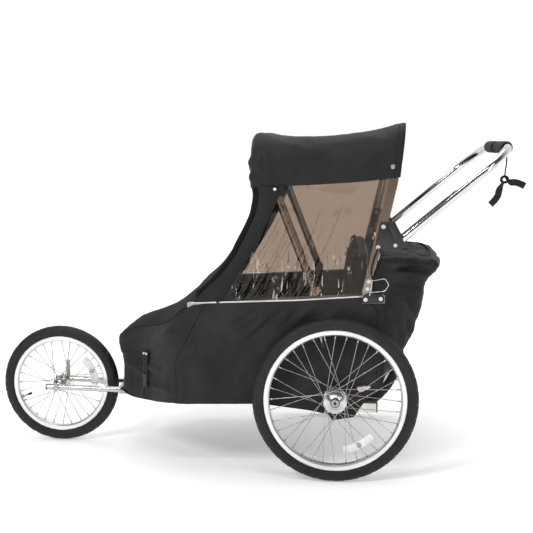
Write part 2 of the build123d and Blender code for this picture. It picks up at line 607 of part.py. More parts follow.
canopy = canopy_block(CANOPY_OUT, 0, 74) - Pos(3, 0, 0) * canopy_block(CANOPY_IN, 3, 71)
canopy = canopy & slab(CANOPY_TRIM, -340, 340)
save("canopy", canopy)

WINDOW = ((-348, 528), (-106, 536), (64, 548), (134, 876), (-174, 851))
for side, name in SIDES:
    save(f"window_{name}", side_slab(WINDOW, side, CANOPY_IN + 0.2, CANOPY_IN + 2.2))

COVER_FRONT = ((-258, 856), (-250, 800), (-283, 731), (-318, 660), (-381, 588), (-466, 521))
cover_outer = ((-177, 856),) + COVER_FRONT + ((-352, 526),)
cover_inner = [(x + 3.2, z + 1.5) for x, z in COVER_FRONT]
cover_inner = [(-100, 900)] + [(-254.8, 900)] + cover_inner[1:] + [(-300, 500)]
cover = slab(cover_outer, -CANOPY_OUT, CANOPY_OUT)
cover -= slab(cover_inner, -CANOPY_IN, CANOPY_IN)
save("front_cover", cover)

SCREEN_HALF = POST_Y - HALF_TUBE - 20
screen_front = ((122, 700), (158, 850), (169, 994))
screen_rear = ((172, 994), (161, 850), (125, 700))
save("rear_screen", slab(screen_front + screen_rear, -SCREEN_HALF, SCREEN_HALF))

print("rear axle X:", round(SHIFT_X, 2), "crossbar:", round(BAR_X + SHIFT_X, 2), round(BAR_Z, 2))
print("strap Y:", STRAP_Y, "gap plates:", GAP_IN, GAP_OUT)
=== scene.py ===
"""Looks of the child bicycle trailer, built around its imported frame."""

import json
import math
import random

import bmesh
import bpy
import numpy as np
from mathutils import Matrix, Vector, noise


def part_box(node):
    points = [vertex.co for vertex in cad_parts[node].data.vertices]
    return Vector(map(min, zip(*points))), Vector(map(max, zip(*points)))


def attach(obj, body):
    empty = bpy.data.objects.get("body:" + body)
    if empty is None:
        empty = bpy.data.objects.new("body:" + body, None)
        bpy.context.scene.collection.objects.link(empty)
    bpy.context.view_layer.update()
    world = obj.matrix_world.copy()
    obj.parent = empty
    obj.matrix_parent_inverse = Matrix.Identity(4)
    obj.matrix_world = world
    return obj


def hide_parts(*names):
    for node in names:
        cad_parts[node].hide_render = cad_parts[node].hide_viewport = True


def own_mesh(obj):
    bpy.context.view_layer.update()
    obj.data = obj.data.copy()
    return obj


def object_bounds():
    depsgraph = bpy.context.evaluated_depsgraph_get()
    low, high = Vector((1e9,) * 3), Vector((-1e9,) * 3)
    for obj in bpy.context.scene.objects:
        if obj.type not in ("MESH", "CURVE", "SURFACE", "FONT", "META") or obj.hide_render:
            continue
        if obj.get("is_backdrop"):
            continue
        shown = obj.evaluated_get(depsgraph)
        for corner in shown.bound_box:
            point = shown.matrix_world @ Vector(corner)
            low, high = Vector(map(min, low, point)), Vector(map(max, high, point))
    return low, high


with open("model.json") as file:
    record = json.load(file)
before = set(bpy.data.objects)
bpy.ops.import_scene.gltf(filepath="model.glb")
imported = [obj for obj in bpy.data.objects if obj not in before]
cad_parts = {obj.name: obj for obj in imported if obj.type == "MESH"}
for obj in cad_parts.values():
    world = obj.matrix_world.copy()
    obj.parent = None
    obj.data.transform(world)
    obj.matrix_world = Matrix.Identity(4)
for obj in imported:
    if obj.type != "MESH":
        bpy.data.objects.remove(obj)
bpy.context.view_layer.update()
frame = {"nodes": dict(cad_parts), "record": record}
NODES = frame["nodes"]
SIDES = ((-1, "left"), (1, "right"))
random.seed(7)


def hub_middle(node):
    """Middle of a hub along X and Z, in metres."""
    low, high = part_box(node)
    return (low.x + high.x) / 2, (low.z + high.z) / 2


AXLE_X, rear_height = hub_middle("wheel_left_hub")
front_place, front_height = hub_middle("front_wheel_hub")
REAR_AXLE = rear_height * 1000
FRONT_X = (front_place - AXLE_X) * 1000
FRONT_AXLE = front_height * 1000
TRACK = 366.5               # middle plane to the middle of a rear wheel, mm


def at(x, y, z):
    """Millimetres from the ground below the rear axle, as a point of the row frame."""
    return Vector((AXLE_X + x / 1000, y / 1000, z / 1000))


# ---- camera, light and floor ----------------------------------------------------------
CAMERA_PLACE = (7.518, -3293.377, 999.739)
CAMERA_PITCH, CAMERA_YAW = 0.12339, 0.07115
scene = bpy.context.scene
camera_data = bpy.data.cameras.new("camera")
camera_data.sensor_width = 36.0
camera_data.lens = 69.077
camera = bpy.data.objects.new("camera", camera_data)
camera.location = at(*CAMERA_PLACE)
camera.rotation_euler = (math.pi / 2 - CAMERA_PITCH, 0.0, CAMERA_YAW)
scene.collection.objects.link(camera)
scene.camera = camera

scene.view_settings.view_transform = "Standard"
world = bpy.data.worlds.new("studio")
world.use_nodes = True
sky = world.node_tree
direction = sky.nodes.new("ShaderNodeSeparateXYZ")
sky.links.new(sky.nodes.new("ShaderNodeTexCoord").outputs["Generated"], direction.inputs[0])
backdrop = sky.nodes.new("ShaderNodeMapRange")
backdrop.inputs["From Min"].default_value = -0.15
backdrop.inputs["From Max"].default_value = 0.55
backdrop.inputs["To Min"].default_value = 0.11
sky.links.new(direction.outputs["Y"], backdrop.inputs["Value"])
sky.links.new(backdrop.outputs[0], sky.nodes["Background"].inputs["Color"])
scene.world = world


def area_light(name, place, target, size, power):
    """A soft box at place that faces target."""
    data = bpy.data.lights.new(name, "AREA")
    data.shape = "RECTANGLE"
    data.size, data.size_y = size
    data.energy = power
    lamp = bpy.data.objects.new(name, data)
    lamp.location = place
    aim = Vector(target) - Vector(place)
    lamp.rotation_euler = aim.to_track_quat("-Z", "Y").to_euler()
    scene.collection.objects.link(lamp)


area_light("key", (-1.6, -2.6, 2.6), (0.1, 0.0, 0.4), (0.7, 0.7), 46)
area_light("fill", (2.4, -2.2, 1.8), (0.3, 0.0, 0.5), (0.6, 1.4), 14)
area_light("top", (0.2, 0.3, 3.2), (0.2, 0.0, 0.0), (2.6, 2.0), 36)
area_light("strip", (0.1, -2.2, 2.9), (0.2, -0.3, 0.6), (2.0, 0.25), 22)


# ---- materials ------------------------------------------------------------------------
class Shader:
    """A node material with one Principled shader and short ways to feed it."""

    def __init__(self, name, **constants):
        self.material = bpy.data.materials.new(name)
        self.material.use_nodes = True
        self.nodes = self.material.node_tree.nodes
        self.links = self.material.node_tree.links
        self.surface = self.nodes["Principled BSDF"]
        self.place = self.nodes.new("ShaderNodeTexCoord").outputs["Object"]
        self.normal = None
        for key, value in constants.items():
            self.surface.inputs[key.replace("_", " ")].default_value = value

    def new(self, kind, **sockets):
        node = self.nodes.new(kind)
        for key, value in sockets.items():
            socket = node.inputs[int(key[1:])] if key[0] == "i" and key[1:].isdigit() else (
                node.inputs[key.replace("_", " ")])
            if hasattr(value, "is_linked"):
                self.links.new(value, socket)
            else:
                socket.default_value = value
        return node

    def math(self, operation, first, second=0.0):
        node = self.new("ShaderNodeMath", i0=first, i1=second)
        node.operation = operation
        return node.outputs[0]

    def stretched(self, scale):
        return self.new("ShaderNodeMapping", Vector=self.place, Scale=scale).outputs[0]

    def noise(self, scale, detail=2.0, place=None, rough=0.5, distortion=0.0):
        node = self.new("ShaderNodeTexNoise", Vector=place or self.place, Scale=scale,
                        Detail=detail, Roughness=rough, Distortion=distortion)
        return node.outputs["Fac"]

    def ramp(self, value, stops):
        node = self.new("ShaderNodeValToRGB", Fac=value)
        band = node.color_ramp
        while len(band.elements) < len(stops):
            band.elements.new(0.5)
        for element, (position, colour) in zip(band.elements, stops):
            element.position = position
            element.color = (*colour, 1.0) if len(colour) == 3 else colour
        return node.outputs["Color"]

    def span(self, value, low, high):
        return self.new("ShaderNodeMapRange", Value=value, To_Min=low,
                        To_Max=high).outputs["Result"]

    def mix(self, share, first, second):
        return self.new("ShaderNodeMixShader", i0=share, i1=first, i2=second).outputs[0]

    def bump(self, height, strength, distance):
        sockets = {"Height": height, "Strength": strength, "Distance": distance}
        if self.normal is not None:
            sockets["Normal"] = self.normal
        self.normal = self.new("ShaderNodeBump", **sockets).outputs["Normal"]
        self.links.new(self.normal, self.surface.inputs["Normal"])

    def feed(self, socket, value):
        self.links.new(value, self.surface.inputs[socket])

    def weave(self, pitch):
        """Threads of that pitch in metres, crossing on every face."""
        split = self.new("ShaderNodeSeparateXYZ", Vector=self.place)
        total = None
        for axis in range(3):
            wave = self.math("SINE", self.math("MULTIPLY", split.outputs[axis],
                                               2 * math.pi / pitch))
            total = wave if total is None else self.math("ADD", total, wave)
        return self.math("MULTIPLY", self.math("ADD", total, 3.0), 1 / 6)


def cloth(name, dark, light, pitch=0.0014, rough=(0.55, 0.75), sheen=0.04, crease=0.35,
          mottle=9.0):
    """Woven fabric: mottled colour, fine weave, soft creases."""
    made = Shader(name, Sheen_Weight=sheen, Sheen_Roughness=0.45, Specular_IOR_Level=0.28)
    broad = made.noise(mottle, 5.0, rough=0.6)
    made.feed("Base Color", made.ramp(broad, ((0.3, dark), (0.72, light))))
    weave = made.weave(pitch)
    grain = made.noise(420.0, 2.0)
    made.feed("Roughness", made.span(grain, *rough))
    made.bump(made.noise(14.0, 4.0, rough=0.55, distortion=0.8), crease, 0.009)
    made.bump(weave, 0.22, 0.0003)
    return made.material


def metal(name, colour, rough, scratch=(3.0, 3.0, 260.0), depth=0.04, tint=None):
    """Bare or plated metal with fine drawn lines and a little uneven polish."""
    made = Shader(name, Metallic=1.0)
    cloudy = made.noise(16.0, 3.0)
    low = tuple(0.9 * c for c in colour) if tint is None else tint
    made.feed("Base Color", made.ramp(cloudy, ((0.35, low), (0.65, colour))))
    lines = made.noise(1.0, 3.0, place=made.stretched(scratch))
    made.feed("Roughness", made.span(lines, *rough))
    made.bump(lines, depth, 0.0004)
    return made.material


def plastic(name, colour, rough=(0.35, 0.5), grain=900.0, depth=0.12):
    """Moulded plastic with a fine texture and lighter dusty patches at random."""
    made = Shader(name, Specular_IOR_Level=0.5)
    cloudy = made.noise(22.0, 4.0)
    lighter = tuple(min(1.0, 1.35 * c + 0.004) for c in colour)
    made.feed("Base Color", made.ramp(cloudy, ((0.35, colour), (0.75, lighter))))
    fine = made.noise(grain, 2.0)
    made.feed("Roughness", made.span(fine, *rough))
    made.bump(fine, depth, 0.0003)
    return made.material


def clear_film(name, tint, fog=0.004):
    """Vinyl window: it dims what is behind it, mirrors the lights in its wrinkles, and carries
    painted white highlight streaks low down.
    """
    made = Shader(name, Base_Color=(0.5, 0.44, 0.38, 1.0), Roughness=0.06)
    see = made.new("ShaderNodeBsdfTransparent", Color=(*tint, 1.0))
    made.bump(made.noise(1.0, 3.0, place=made.stretched((60.0, 60.0, 14.0)), distortion=1.0),
              0.25, 0.004)
    mirror = made.new("ShaderNodeBsdfGlossy", Color=(1.0, 0.97, 0.92, 1.0), Roughness=0.05,
                      Normal=made.normal)
    shine = made.new("ShaderNodeFresnel", IOR=1.5, Normal=made.normal)
    mirrored = made.math("MULTIPLY", shine.outputs[0], 0.5)
    clear = made.mix(mirrored, see.outputs[0], mirror.outputs[0])
    misty = made.mix(fog, clear, made.surface.outputs[0])

    # Painted highlights: sharp white glossy streaks, only low on the film where it is gathered,
    # standing in for the lights mirrored in its crinkles.
    lines = made.noise(1.0, 4.0, place=made.stretched((70.0, 70.0, 13.0)), distortion=1.6)
    painted_glint_streaks = made.ramp(lines, ((0.62, (0.0, 0.0, 0.0)), (0.655, (1.0, 1.0, 1.0)),
                              (0.69, (0.0, 0.0, 0.0))))
    split = made.new("ShaderNodeSeparateXYZ", Vector=made.place)
    low = made.new("ShaderNodeMapRange", Value=split.outputs["Z"], From_Min=0.70, From_Max=0.56)
    # Mask of the painted highlight streaks, faded out above the gathered lower film.
    crease = made.math("MULTIPLY", made.math("MULTIPLY", painted_glint_streaks, low.outputs["Result"]), 0.8)
    painted_glint_shader = made.new("ShaderNodeBsdfGlossy", Color=(0.95, 0.93, 0.9, 1.0), Roughness=0.6,
                     Normal=made.normal)
    film_with_painted_glints = made.mix(crease, misty, painted_glint_shader.outputs[0])
    made.links.new(film_with_painted_glints, made.nodes["Material Output"].inputs["Surface"])
    return made.material


def rubber(name):
    """Black tyre rubber with a faint worn bloom."""
    made = Shader(name, Specular_IOR_Level=0.4)
    worn = made.noise(30.0, 5.0)
    made.feed("Base Color", made.ramp(worn, ((0.3, (0.006, 0.006, 0.0065)),
                                             (0.8, (0.016, 0.016, 0.017)))))
    fine = made.noise(700.0, 2.0)
    made.feed("Roughness", made.span(fine, 0.5, 0.72))
    made.bump(fine, 0.2, 0.0003)
    return made.material


BODY_DARK, BODY_LIGHT = (0.0085, 0.0078, 0.0085), (0.025, 0.0225, 0.0240)
MATERIALS = {
    "tyre": rubber("tyre_rubber"),
    "rim": metal("rim_alloy", (0.86, 0.86, 0.86), (0.22, 0.4), (4.0, 700.0, 4.0), 0.05,
                 (0.78, 0.78, 0.78)),
    "spoke": metal("spoke_steel", (0.46, 0.45, 0.44), (0.2, 0.35)),
    "hub": metal("hub_alloy", (0.62, 0.62, 0.61), (0.16, 0.32), (3.0, 500.0, 3.0)),
    "frame": metal("frame_alloy", (0.45, 0.45, 0.45), (0.3, 0.45)),
    "steel": metal("plated_steel", (0.42, 0.42, 0.43), (0.22, 0.4)),
    "tube_silver": metal("anodised_tube", (0.60, 0.57, 0.54), (0.14, 0.24), depth=0.01),
    "chrome_tube": metal("polished_tube", (0.68, 0.67, 0.66), (0.07, 0.11), (2.0, 2.0, 180.0),
                         0.002),
    "bolt": metal("bolt_steel", (0.6, 0.6, 0.61), (0.14, 0.3)),
    "black_plastic": plastic("black_nylon", (0.012, 0.0125, 0.014)),
    "red_plastic": plastic("red_nylon", (0.42, 0.012, 0.016)),
    "foam": plastic("grip_foam", (0.012, 0.012, 0.012), (0.75, 0.95), 420.0, 0.5),
    "webbing": cloth("webbing", (0.006, 0.006, 0.0065), (0.012, 0.012, 0.013), 0.0022,
                     crease=0.12),
    "fabric": cloth("body_nylon", BODY_DARK, BODY_LIGHT),
    "seat_fabric": cloth("seat_nylon", (0.004, 0.004, 0.0045), (0.009, 0.0085, 0.009),
                         rough=(0.38, 0.55)),
    "board": plastic("floor_board", (0.012, 0.012, 0.012), (0.5, 0.7)),
    "piping": plastic("reflective_piping", (0.60, 0.61, 0.62), (0.3, 0.45), 600.0),
    # Black mesh whose very dark colour is also painted shade of the dark inside of the nose seen
    # through it.
    "mesh": cloth("screen_mesh", (0.0015, 0.0015, 0.0015), (0.003, 0.003, 0.003), 0.003,
                  rough=(0.9, 1.0), sheen=0.0),
    "window": clear_film("window_film", (0.71, 0.655, 0.61)),
    "reflector": plastic("reflector_lens", (0.74, 0.75, 0.75), (0.08, 0.2), 300.0, 0.3),
    "canopy": cloth("canopy_nylon", (0.0065, 0.006, 0.006), (0.016, 0.0148, 0.0145), crease=0.6),
    "trunk": cloth("trunk_nylon", (0.007, 0.0065, 0.007), (0.014, 0.013, 0.014), crease=0.6),
    "binding": cloth("edge_binding", (0.0045, 0.0045, 0.005), (0.009, 0.009, 0.0095), 0.0018,
                     crease=0.1),
    "bracket_grey": metal("bracket_plate", (0.30, 0.27, 0.24), (0.2, 0.35)),
    "thread": plastic("stitch_thread", (0.05, 0.05, 0.055), (0.6, 0.8), 1200.0),
}

OWN_LOOK = {"fold_brackets": "bracket_grey"}
for row in frame["record"]["subparts"]:
    mesh = NODES[row["node"]].data
    mesh.materials.clear()
    mesh.materials.append(MATERIALS[OWN_LOOK.get(row["node"], row["material_slot"])])

FLOOR_REACH, FLOOR_LEVEL = 45.0, -0.0006
floor_mesh = bpy.data.meshes.new("floor")
floor_mesh.from_pydata([(x * FLOOR_REACH, y * FLOOR_REACH, FLOOR_LEVEL)
                        for x, y in ((-1, -1), (1, -1), (1, 1), (-1, 1))], [], [(0, 1, 2, 3)])
floor = bpy.data.objects.new("floor", floor_mesh)
scene.collection.objects.link(floor)
paper = Shader("floor_paper", Roughness=0.9, Emission_Strength=1.0)
away = paper.new("ShaderNodeVectorMath", i0=paper.place)
away.operation = "LENGTH"
paper.feed("Emission Color", paper.ramp(paper.math("MULTIPLY", away.outputs["Value"], 0.2),
                                        ((0.16, (0.34, 0.34, 0.34)),
                                         (0.9, (0.8, 0.8, 0.8)))))
paper.feed("Base Color", paper.ramp(paper.noise(3.0), ((0.0, (0.88, 0.88, 0.88)),
                                                       (1.0, (0.9, 0.9, 0.9)))))
floor_mesh.materials.append(paper.material)
floor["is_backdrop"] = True


# ---- mesh helpers ---------------------------------------------------------------------
def add_mesh(name, points, faces, material, body):
    """A new piece from points in millimetres; it rides on that body."""
    mesh = bpy.data.meshes.new(name)
    mesh.from_pydata([at(*p) for p in points], [], faces)
    made = bmesh.new()
    made.from_mesh(mesh)
    bmesh.ops.remove_doubles(made, verts=made.verts, dist=1e-6)
    bmesh.ops.dissolve_degenerate(made, edges=made.edges, dist=1e-7)
    bmesh.ops.recalc_face_normals(made, faces=made.faces)
    made.to_mesh(mesh)
    made.free()
    mesh.shade_smooth()
    mesh.materials.append(MATERIALS[material])
    piece = bpy.data.objects.new(name, mesh)
    scene.collection.objects.link(piece)
    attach(piece, body)
    return piece


def grid(rows, wrap=False):
    """Points and faces of a quad grid from rows of points; wrap joins each row's ends."""
    width = len(rows[0])
    points = [p for row in rows for p in row]
    faces = []
    for i in range(len(rows) - 1):
        for j in range(width if wrap else width - 1):
            a = i * width + j
            b = i * width + (j + 1) % width
            faces.append((a, b, b + width, a + width))
    return points, faces


def capped(rings):
    """A tube of rings whose first and last rings are closed with a face."""
    points, faces = grid(rings, wrap=True)
    count = len(rings[0])
    faces.append(tuple(range(count)))
    faces.append(tuple(range(len(points) - count, len(points))))
    return points, faces


def thicken(piece, amount):
    """Give a sheet its thickness in millimetres, half on each side."""
    made = piece.modifiers.new("thickness", "SOLIDIFY")
    made.thickness = amount / 1000
    made.offset = 0.0
    made.use_even_offset = False


def settle(piece):
    """Turn a piece's modifiers into its mesh."""
    graph = bpy.context.evaluated_depsgraph_get()
    mesh = bpy.data.meshes.new_from_object(piece.evaluated_get(graph))
    piece.modifiers.clear()
    piece.data = mesh


def frames_along(path):
    """Tangent, side and up vectors along a path, without twist."""
    path = [Vector(p) for p in path]
    tangents = []
    for i in range(len(path)):
        before, after = path[max(i - 1, 0)], path[min(i + 1, len(path) - 1)]
        tangents.append((after - before).normalized())
    up = Vector((0, 0, 1)) if abs(tangents[0].z) < 0.9 else Vector((0, 1, 0))
    side = tangents[0].cross(up).normalized()
    result = []
    for tangent in tangents:
        side = (side - tangent * side.dot(tangent)).normalized()
        result.append((tangent, side, side.cross(tangent)))
    return result


def tube_shape(path, radius, sides):
    """Points and faces of a capped tube; radius may be one value for each point."""
    radii = radius if hasattr(radius, "__len__") else [radius] * len(path)
    rings = []
    for point, r, (tangent, side, up) in zip(path, radii, frames_along(path)):
        ring = []
        for k in range(sides):
            turn = 2 * math.pi * k / sides
            ring.append(tuple(Vector(point) + side * (r * math.cos(turn))
                              + up * (r * math.sin(turn))))
        rings.append(ring)
    return capped(rings)


def round_about(centre, radius, angle, along):
    """A point on a circle about the Y axis through centre, moved along that axis."""
    cx, cy, cz = centre
    return (cx + radius * math.cos(angle), cy + along, cz + radius * math.sin(angle))


def lathe_shape(profile, centre, steps, ends=True):
    """Turn (along, radius) points about the Y axis through centre; ends adds end faces."""
    rings = [[round_about(centre, r, 2 * math.pi * k / steps, along) for k in range(steps)]
             for along, r in profile]
    return capped(rings) if ends else grid(rings, wrap=True)


def ring_shape(profile, centre, steps):
    """A closed profile turned about the Y axis."""
    return lathe_shape([*profile, profile[0]], centre, steps, ends=False)


class Parts:
    """Several shapes that make one piece."""

    def __init__(self):
        self.points, self.faces = [], []

    def add(self, shape):
        points, faces = shape
        shift = len(self.points)
        self.points += [tuple(p) for p in points]
        self.faces += [tuple(i + shift for i in face) for face in faces]
        return self

    def piece(self, name, material, body, slot):
        return add_mesh(name, self.points, self.faces, material, body)


def one_piece(shape, name, material, body, slot):
    """A piece made of one shape."""
    return Parts().add(shape).piece(name, material, body, slot)


def slab_shape(outline, y_in, y_out, bevel=1.0):
    """A plate with an outline in X and Z and rounded rims on its outer face."""
    count = len(outline)
    centre = [sum(p[n] for p in outline) / count for n in (0, 1)]
    step = 1 if y_out > y_in else -1
    levels = [(y_in, 0.0), (y_out - step * bevel, 0.0),
              (y_out - step * bevel * 0.3, bevel * 0.35), (y_out, bevel)]
    rings = []
    for y, inset in levels:
        ring = []
        for x, z in outline:
            dx, dz = centre[0] - x, centre[1] - z
            far = math.hypot(dx, dz) or 1.0
            ring.append((x + dx / far * inset, y, z + dz / far * inset))
        rings.append(ring)
    return capped(rings)


def rounded(outline, radius, steps=5):
    """An outline whose corners are replaced with arcs."""
    result = []
    n = len(outline)
    for i in range(n):
        before, here, after = (Vector(outline[(i + k) % n]) for k in (-1, 0, 1))
        a, b = before - here, after - here
        cut = min(radius, 0.45 * a.length, 0.45 * b.length)
        start, end = here + a.normalized() * cut, here + b.normalized() * cut
        for k in range(steps + 1):
            t = k / steps
            p = start * (1 - t) ** 2 + here * (2 * t * (1 - t)) + end * t ** 2
            result.append((p.x, p.y))
    return result


def eased(low, high, share):
    """A soft step from 0 at low to 1 at high."""
    t = min(max((share - low) / (high - low), 0.0), 1.0)
    return t * t * (3 - 2 * t)


def line_at(table, value):
    """Straight-line interpolation in a table of (value, result) pairs."""
    xs, ys = zip(*table)
    return float(np.interp(value, xs, ys))


def smooth_line(points, count):
    """A smooth path through points: Catmull-Rom, evenly spaced."""
    points = [Vector(p) for p in points]
    ends = [2 * points[0] - points[1]] + points + [2 * points[-1] - points[-2]]
    fine = []
    for i in range(len(points) - 1):
        a, b, c, d = ends[i:i + 4]
        for k in range(24):
            t = k / 24
            fine.append(0.5 * ((2 * b) + (c - a) * t + (2 * a - 5 * b + 4 * c - d) * t ** 2
                               + (3 * b - 3 * c + d - a) * t ** 3))
    fine.append(points[-1])
    lengths = [0.0]
    for a, b in zip(fine, fine[1:]):
        lengths.append(lengths[-1] + (b - a).length)
    result, j = [], 0
    for k in range(count):
        goal = lengths[-1] * k / (count - 1)
        while j < len(fine) - 2 and lengths[j + 1] < goal:
            j += 1
        share = (goal - lengths[j]) / max(lengths[j + 1] - lengths[j], 1e-9)
        result.append(fine[j].lerp(fine[j + 1], min(max(share, 0), 1)))
    return result


def creases(x, z, folds):
    """Height of the folds at a point; a fold is (x0, z0, x1, z1, width, height)."""
    total = 0.0
    for x0, z0, x1, z1, width, height in folds:
        dx, dz = x1 - x0, z1 - z0
        length = math.hypot(dx, dz)
        along = ((x - x0) * dx + (z - z0) * dz) / length ** 2
        if not 0 < along < 1:
            continue
        across = ((x - x0) * dz - (z - z0) * dx) / length
        total += height * math.exp(-(across / width) ** 2) * math.sin(math.pi * along) ** 0.7
    return total


def ripple(x, y, z, scale, depth):
    """Soft uneven relief, the same every run."""
    return depth * noise.noise(Vector((x, y, z)) / scale)


def strip_shape(path, width, height, normal):
    """A flat band along a path: width across, height thick, slightly crowned."""
    out = Vector(normal).normalized()
    rows = []
    for point, (tangent, side, up) in zip(path, frames_along(path)):
        across = tangent.cross(out).normalized()
        row = []
        for share, lift in ((-0.5, 0.0), (-0.47, 0.75), (-0.2, 1.0), (0.2, 1.0), (0.47, 0.75),
                            (0.5, 0.0), (0.4, -0.1), (-0.4, -0.1)):
            row.append(tuple(Vector(point) + across * (share * width) + out * (lift * height)))
        rows.append(row)
    return capped(rows)


STITCH_LENGTH, STITCH_GAP, STITCH_RADIUS = 3.6, 2.2, 0.45


def stitch_shape(path, normal):
    """A row of thread stitches along a path, lying on the cloth."""
    parts = Parts()
    out = Vector(normal).normalized()
    path = [Vector(p) for p in path]
    total = sum((b - a).length for a, b in zip(path, path[1:]))
    count = max(2, int(total / (STITCH_LENGTH + STITCH_GAP)))
    dense = smooth_line(path, count * 2 + 1)
    for k in range(count):
        a, b = dense[2 * k], dense[2 * k + 1]
        side = (b - a).normalized().cross(out).normalized()
        middle = (a + b) / 2 + out * STITCH_RADIUS
        points = [a, middle + side * STITCH_RADIUS, middle + out * STITCH_RADIUS,
                  middle - side * STITCH_RADIUS, middle - out * STITCH_RADIUS, b]
        faces = [(0, 2, 1), (0, 3, 2), (0, 4, 3), (0, 1, 4), (5, 1, 2), (5, 2, 3), (5, 3, 4),
                 (5, 4, 1)]
        parts.add(([tuple(p) for p in points], faces))
    return parts.points, parts.faces


# ---- wrist strap: the one free cord ---------------------------------------------------
BAR_X, BAR_Z = 503.995, 976.255
STRAP_Y = -181.4
STRAP_WIDTH = 20.0
LOOP_RADIUS = 14.9
STRAP_ROUTE = ((BAR_X, STRAP_Y, BAR_Z - 16.7), (BAR_X + 1, STRAP_Y, 930),
               (BAR_X - 3, STRAP_Y, 906), (BAR_X - 4, STRAP_Y, 886), (BAR_X + 12, STRAP_Y, 872),
               (BAR_X + 34, STRAP_Y, 874), (BAR_X + 56, STRAP_Y, 862))
TAIL_ROUTE = ((BAR_X - 8, STRAP_Y, 872), (BAR_X - 20, STRAP_Y, 852),
              (BAR_X - 22, STRAP_Y, 828), (BAR_X - 44, STRAP_Y, 806))


def spline_points(route):
    """Points of the smooth line whose control points are the route, in millimetres."""
    curve = bpy.data.curves.new("route", "CURVE")
    curve.dimensions = "3D"
    spline = curve.splines.new("NURBS")
    spline.points.add(len(route) - 1)
    for point, place in zip(spline.points, route):
        point.co = (*place, 1.0)
    spline.order_u = 3
    spline.use_endpoint_u = True
    spline.resolution_u = 24
    holder = bpy.data.objects.new("route", curve)
    mesh = bpy.data.meshes.new_from_object(holder)
    result = [tuple(v.co) for v in mesh.vertices]
    bpy.data.objects.remove(holder)
    return result


def webbing_shape(path, width, thick, turn):
    """Flat webbing along a path; turn(share) is how far its width leans out of the Y axis."""
    rows = []
    for i, (point, (tangent, side, up)) in enumerate(zip(path, frames_along(path))):
        lean = turn(i / (len(path) - 1))
        flat = Vector((0, 1, 0))
        in_plane = tangent.cross(flat).normalized()
        across = (flat * math.cos(lean) + in_plane * math.sin(lean)).normalized()
        out = tangent.cross(across).normalized()
        row = []
        for share, lift in ((-0.5, -0.5), (-0.5, 0.5), (-0.46, 0.8), (0.46, 0.8), (0.5, 0.5),
                            (0.5, -0.5), (0.46, -0.8), (-0.46, -0.8)):
            row.append(tuple(Vector(point) + across * share * width + out * lift * thick))
        rows.append(row)
    return capped(rows)


def strap_piece(name, path, width, thick, turn):
    return one_piece(webbing_shape(path, width, thick, turn), name, "webbing", "handlebar",
                     "webbing")


strap_line = spline_points(STRAP_ROUTE)
strap = strap_piece("wrist_strap_webbing", strap_line, STRAP_WIDTH, 2.2,
                    lambda s: 0.12 + 1.4 * eased(0.55, 0.8, s))
tail = strap_piece("wrist_strap_tail_webbing", spline_points(TAIL_ROUTE), STRAP_WIDTH, 2.2,
                   lambda s: 0.5 + 1.0 * eased(0.0, 0.4, s))
knot_path = [(BAR_X - 4 + 10 * math.cos(t), STRAP_Y + 6 * math.sin(2 * t), 882 + 9 * math.sin(t))
             for t in np.linspace(0.0, 2 * math.pi, 26)]
knot = strap_piece("wrist_strap_knot", knot_path, 9.0, 4.5, lambda s: 0.0)
loop_path = [(BAR_X + LOOP_RADIUS * math.sin(t), STRAP_Y, BAR_Z - LOOP_RADIUS * math.cos(t))
             for t in np.linspace(0.0, 2 * math.pi, 40)]
loop = strap_piece("wrist_strap_loop", loop_path, STRAP_WIDTH * 0.55, 1.8, lambda s: 0.0)
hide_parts("wrist_strap")
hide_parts("wrist_strap_tail")


# ---- wheels ---------------------------------------------------------------------------
def tyre(name, body, centre, bead, count):
    """A tyre with ribbed sidewalls, shoulder blocks and centre grooves."""
    cx, cy, cz = centre
    around, section = 32 * count // 2, 44
    middle, half = bead + 20.5, 20.0
    rows = []
    for i in range(around):
        turn = 2 * math.pi * i / around
        row = []
        for j in range(section):
            lean = 2 * math.pi * j / section
            out, side = math.cos(lean), math.sin(lean)
            r = half
            angle = math.degrees(abs(math.atan2(side, out)))
            phase = (i * 0.5 + (6.0 if side > 0 else 0.0) + angle / 12.0) % 8.0
            if angle < 58:
                if 15 < angle < 22 or 36 < angle < 40:
                    r -= 1.1
                if angle > 24 and phase < 2.6:
                    r -= 1.3
                if angle < 12 and (i + 4) % 16 < 2:
                    r -= 0.8
            elif 62 < angle < 68 or 100 < angle < 106:
                r += 0.5
            if out < -0.72:
                r = min(r, (14.8 if abs(side) < 0.7 else 18.0))
            row.append((cx + (middle + r * out) * math.cos(turn), cy + r * side,
                        cz + (middle + r * out) * math.sin(turn)))
        rows.append(row)
    rows.append(rows[0])
    piece = one_piece(grid(rows, wrap=True), name, "tyre", body, "tyre")
    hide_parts(body + "_tyre")


